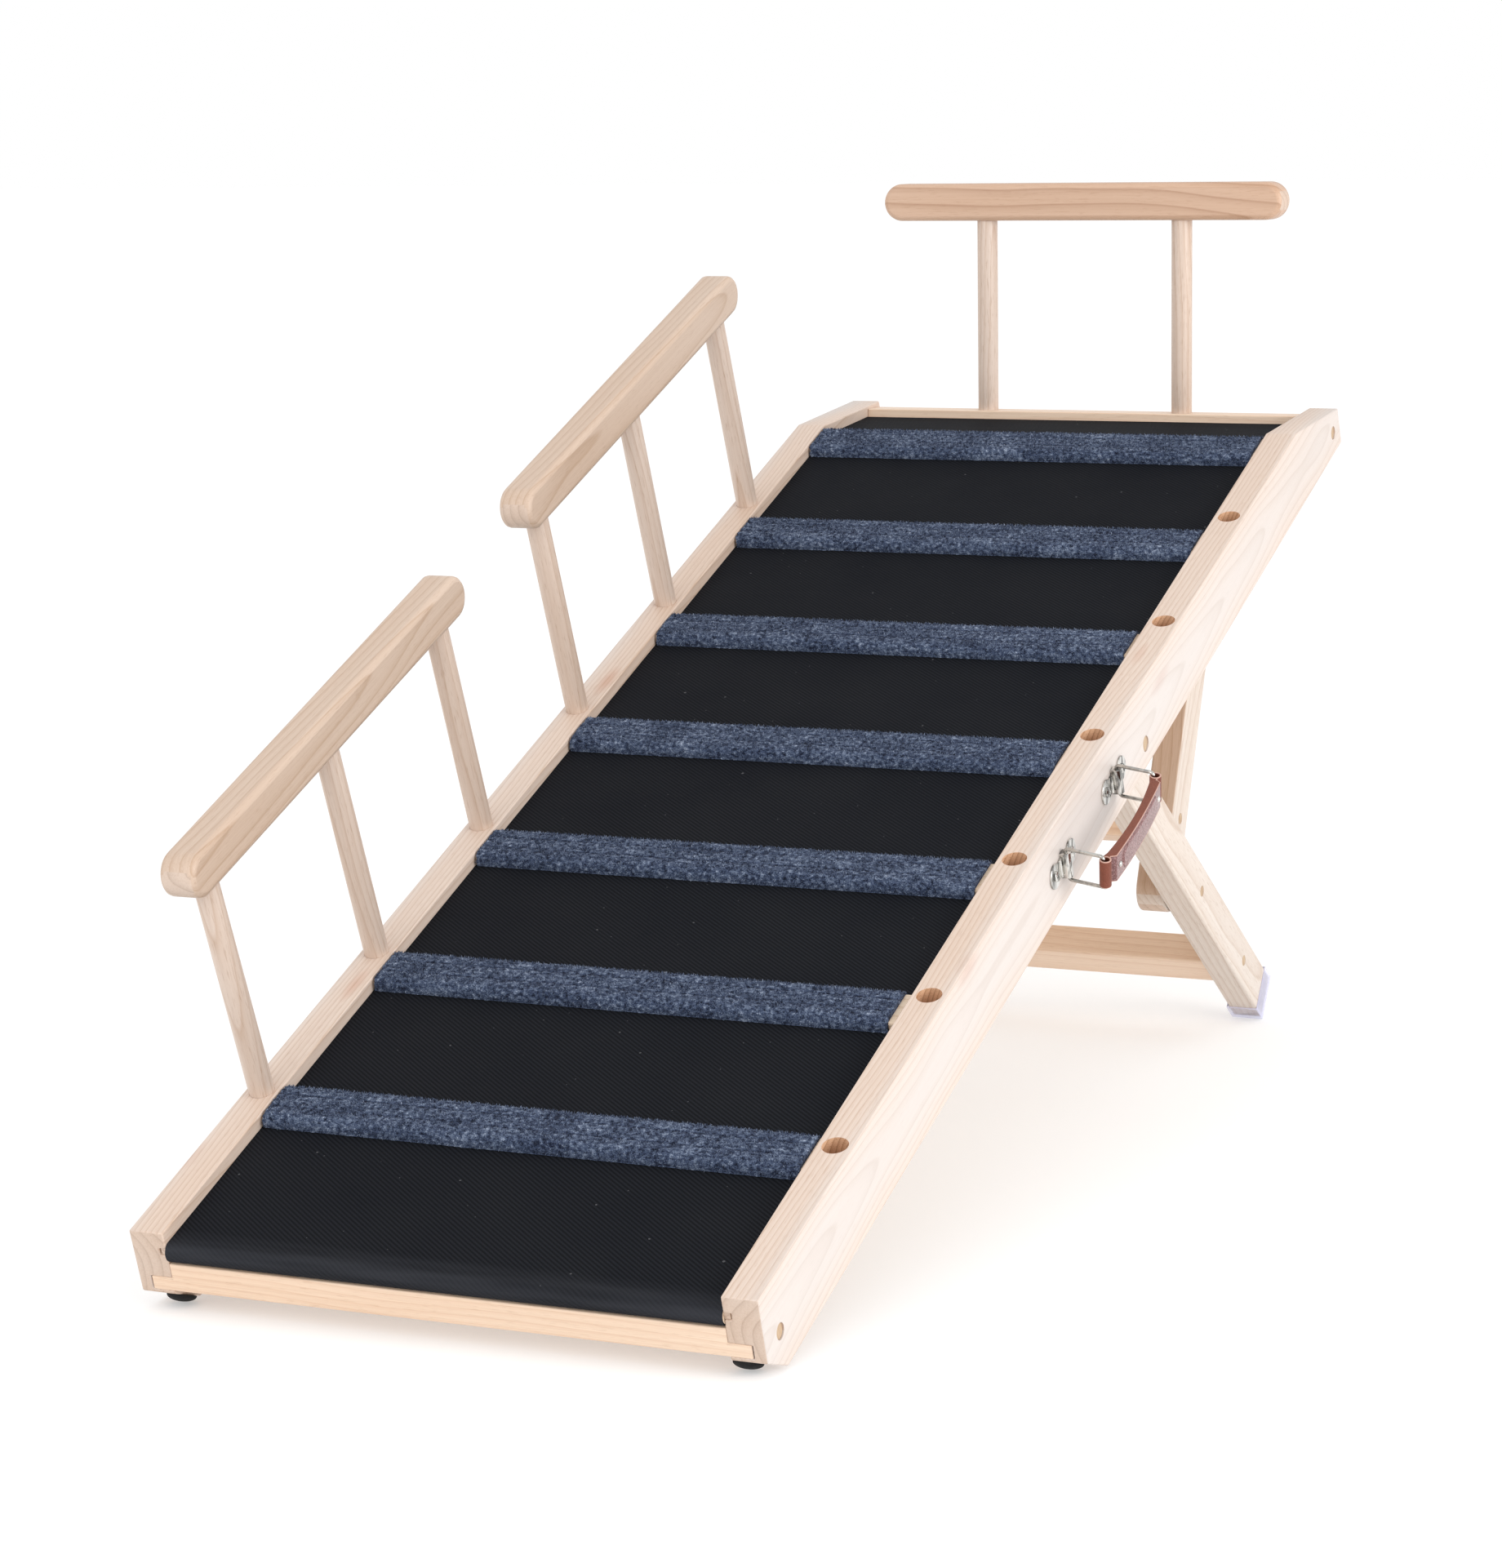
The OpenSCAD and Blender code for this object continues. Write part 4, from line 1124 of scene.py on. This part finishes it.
def grip_outline():
    """Closed outline of the strap seen from above, and which of its points lie on the outer face."""
    reach = GRIP_HALF + RING_R * math.cos(RING_TURN)
    close = 8 * MM
    ring = [RING_TURN * (-1 + 2 * i / 22) for i in range(23)]
    near = [reach - close * i / 16 for i in range(1, 17)]
    far = [(reach - close) * (1 - i / 15) for i in range(1, 15)]
    run = [-b for b in near + far] + [0.0] + list(reversed(near + far))
    lower = [(RING_R * math.sin(t), -GRIP_HALF - RING_R * math.cos(t), False) for t in ring]
    outer = [(grip_outer(b), b, True) for b in run]
    upper = [(a, -b, False) for a, b, _ in reversed(lower)]
    inner = [(grip_inner(b), b, False) for b in reversed(run)]
    return lower + outer + upper + inner


def inset(points, distance):
    """The outline drawn in by a distance; it runs round the strap's inside on its left."""
    made = []
    for i, (a, b, _) in enumerate(points):
        before, after = points[i - 1], points[(i + 1) % len(points)]
        da, db = after[0] - before[0], after[1] - before[1]
        length = math.hypot(da, db)
        made.append((a - db / length * distance, b + da / length * distance))
    return made


def make_strap(skin, lining, rim):
    """The strap's body: an outline with rounded edges and a hole for each wire."""
    outline = grip_outline()
    n = len(outline)
    turns = quarter_turn(3)[::-1]
    levels = [(GRIP_W / 2 - SKIN_EDGE * (1 - math.sin(t)), SKIN_EDGE * (1 - math.cos(t))) for t in turns]
    levels = [(-z, d) for z, d in levels] + list(reversed(levels))
    bm = bmesh.new()
    loops = [[bm.verts.new((a, b, z)) for a, b in inset(outline, d)] for z, d in levels]
    middle = len(turns) - 1
    for level in range(len(loops) - 1):
        low, high = loops[level], loops[level + 1]
        for i in range(n):
            j = (i + 1) % n
            face = bm.faces.new((low[i], low[j], high[j], high[i]))
            outside = outline[i][2] and outline[j][2]
            face.material_index = LINING
            if outside:
                face.material_index = SKIN if level == middle else RIM
    caps = [list(loops[0]), list(loops[-1])]
    sides = 28
    circle = [(RING_HOLE * math.cos(t), RING_HOLE * math.sin(t)) for t in full_turn(sides)]
    for s in (-1, 1):
        places = [(a, s * GRIP_HALF + b) for a, b in circle]
        low, high = ([bm.verts.new((a, b, z)) for a, b in places] for z in (-GRIP_W / 2, GRIP_W / 2))
        for i in range(sides):
            j = (i + 1) % sides
            bm.faces.new((low[i], low[j], high[j], high[i])).material_index = LINING
        caps[0] += low
        caps[1] += high
    for cap in caps:
        members = set(cap)
        edges = [e for e in bm.edges if members.issuperset(e.verts)]
        made = bmesh.ops.triangle_fill(bm, edges=edges, use_beauty=True, normal=(0, 0, 1))
        for face in made["geom"]:
            if isinstance(face, bmesh.types.BMFace):
                face.material_index = LINING
    bmesh.ops.recalc_face_normals(bm, faces=bm.faces)
    mesh = mesh_of(bm, "grip_strap")
    local = [tuple(v.co) for v in mesh.vertices]
    for v, (a, b, z) in zip(mesh.vertices, local):
        v.co = on_grip(a, b, z)
    mesh.shade_smooth()
    mesh.set_sharp_from_angle(angle=math.radians(50))
    store_vectors(mesh, "cloth", [(b, z, a) for a, b, z in local])
    piece = new_piece("grip_strap", mesh, "handle_grip", [skin, lining, rim])
    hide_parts("handle_grip")


def make_grip_panel(skin):
    """The raised pad on the strap's outer face, between the rivets."""
    rows, columns = 121, 21
    places = []
    cloth = []
    for outside in (True, False):
        for r in range(rows):
            b = PAD_HALF * (-1 + 2 * r / (rows - 1))
            end = PAD_HALF - abs(b)
            half = (3.2 + 4.5 * smooth(end / (4.5 * MM))) * MM
            for c in range(columns):
                z = half * (-1 + 2 * c / (columns - 1))
                edge = min(end, half - abs(z))
                proud = -0.25 * MM + 1.15 * MM * smooth((edge + 0.25 * MM) / (1.5 * MM))
                lump = 0.22 * MM * noise.noise(Vector((b * 620, z * 620, 2.0))) * smooth(edge / (1.2 * MM))
                a = grip_outer(b) + (proud + lump if outside else -0.7 * MM)
                places.append(on_grip(a, b, z))
                cloth.append((b, z, a))
    mesh = solid_mesh("grip_panel", places, double_grid(rows, columns))
    store_vectors(mesh, "cloth", cloth)
    new_piece("grip_panel", mesh, "handle_grip", [skin])


def make_grip_rims(rim):
    """Pale cut edges: round each wire hole and along the outer skin."""
    tubes = []
    mid = (RING_R + RING_HOLE) / 2
    circle = [(mid * math.sin(t), mid * math.cos(t)) for t in full_turn(32)]
    reach = GRIP_HALF - 3.4 * MM
    line = [reach * (-1 + 2 * i / 90) for i in range(91)]
    for z in (-GRIP_W / 2, GRIP_W / 2):
        for s in (-1, 1):
            ring = [on_grip(a, s * GRIP_HALF + b, z * 0.995) for a, b in circle]
            tubes.append(tube_mesh("ring", ring, 0.5 * MM, closed=True))
        edge = [on_grip(grip_outer(b) - 0.22 * MM, b, z * 0.98) for b in line]
        tubes.append(tube_mesh("edge", edge, 0.3 * MM))
    mesh = join_meshes("grip_rims", tubes)
    store_vectors(mesh, "cloth", [tuple(v.co) for v in mesh.vertices])
    new_piece("grip_rims", mesh, "handle_grip", [rim])


def make_rivets(nickel):
    """Domed rivets through the strap."""
    name = "grip_rivet_heads"
    parts = []
    for b in (-RIVET_AT, RIVET_AT):
        axis = (on_grip(1, b, 0) - on_grip(0, b, 0)).normalized()
        foot = grip_inner(b) - grip_outer(b)
        dome = [(RIVET_R * math.sin(t), RIVET_RISE * math.cos(t)) for t in quarter_turn(8)]
        dome[0] = (0.02 * MM, RIVET_RISE)
        shank = [(RIVET_SHANK, -0.05 * MM), (RIVET_SHANK, foot)]
        back = [(RIVET_R, foot), (1.7 * MM, foot - 0.5 * MM), (0.05 * MM, foot - 0.6 * MM)]
        parts.append(lathe("rivet", on_grip(grip_outer(b), b, 0), axis, dome + shank + back))
    piece = new_piece(name, join_meshes(name, parts), "handle_grip", [nickel])
    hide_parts("grip_rivets")


def make_grip(nickel):
    # The skin's pale mauve, on its pebble tops, is partly a painted sheen of the light from the right on the
    # strap's outer face; the rest is the leather's own brown.
    skin = make_leather("strap_skin", (0.145, 0.055, 0.05), (0.325, 0.18, 0.178), 1.7 * MM, 1.0)
    lining = make_leather("strap_lining", (0.17, 0.048, 0.027), (0.222, 0.065, 0.038), 1.2 * MM, 0.0)
    rim = make_leather("strap_rim", (0.50, 0.29, 0.23), (0.60, 0.38, 0.31), 1.0 * MM, 0.0)
    make_strap(skin, lining, rim)
    make_grip_panel(skin)
    make_grip_rims(rim)
    make_rivets(nickel)


# ---- build ----

make_camera()
make_studio()
woods = make_woods()
make_rails()
make_frame_wood()
make_boards()
make_guards()
wood_piece(["rail_plugs", "leg_plugs", "brace_plugs"], NORMAL, 0.5, (9, 6), "plug")
make_cover()
carpet = make_carpet()
for k in range(TREADS):
    make_tread_carpet(k, carpet)
make_feet(make_rubber())
make_foot_caps([make_pvc("clear_pvc", 0.5), make_pvc("clear_pvc_thin", 0.22)])
steel = make_metal("zinc", (0.45, 0.45, 0.45), (0.66, 0.66, 0.66), 0.4)
nickel = make_metal("nickel", (0.20, 0.195, 0.185), (0.74, 0.725, 0.69), 0.2)
make_loops(make_metal("nickel_wire", (0.40, 0.39, 0.37), (0.56, 0.55, 0.52), 0.2))
make_plates(nickel)
make_handle_screws(nickel)
make_grip(nickel)
make_fasteners(steel, nickel)
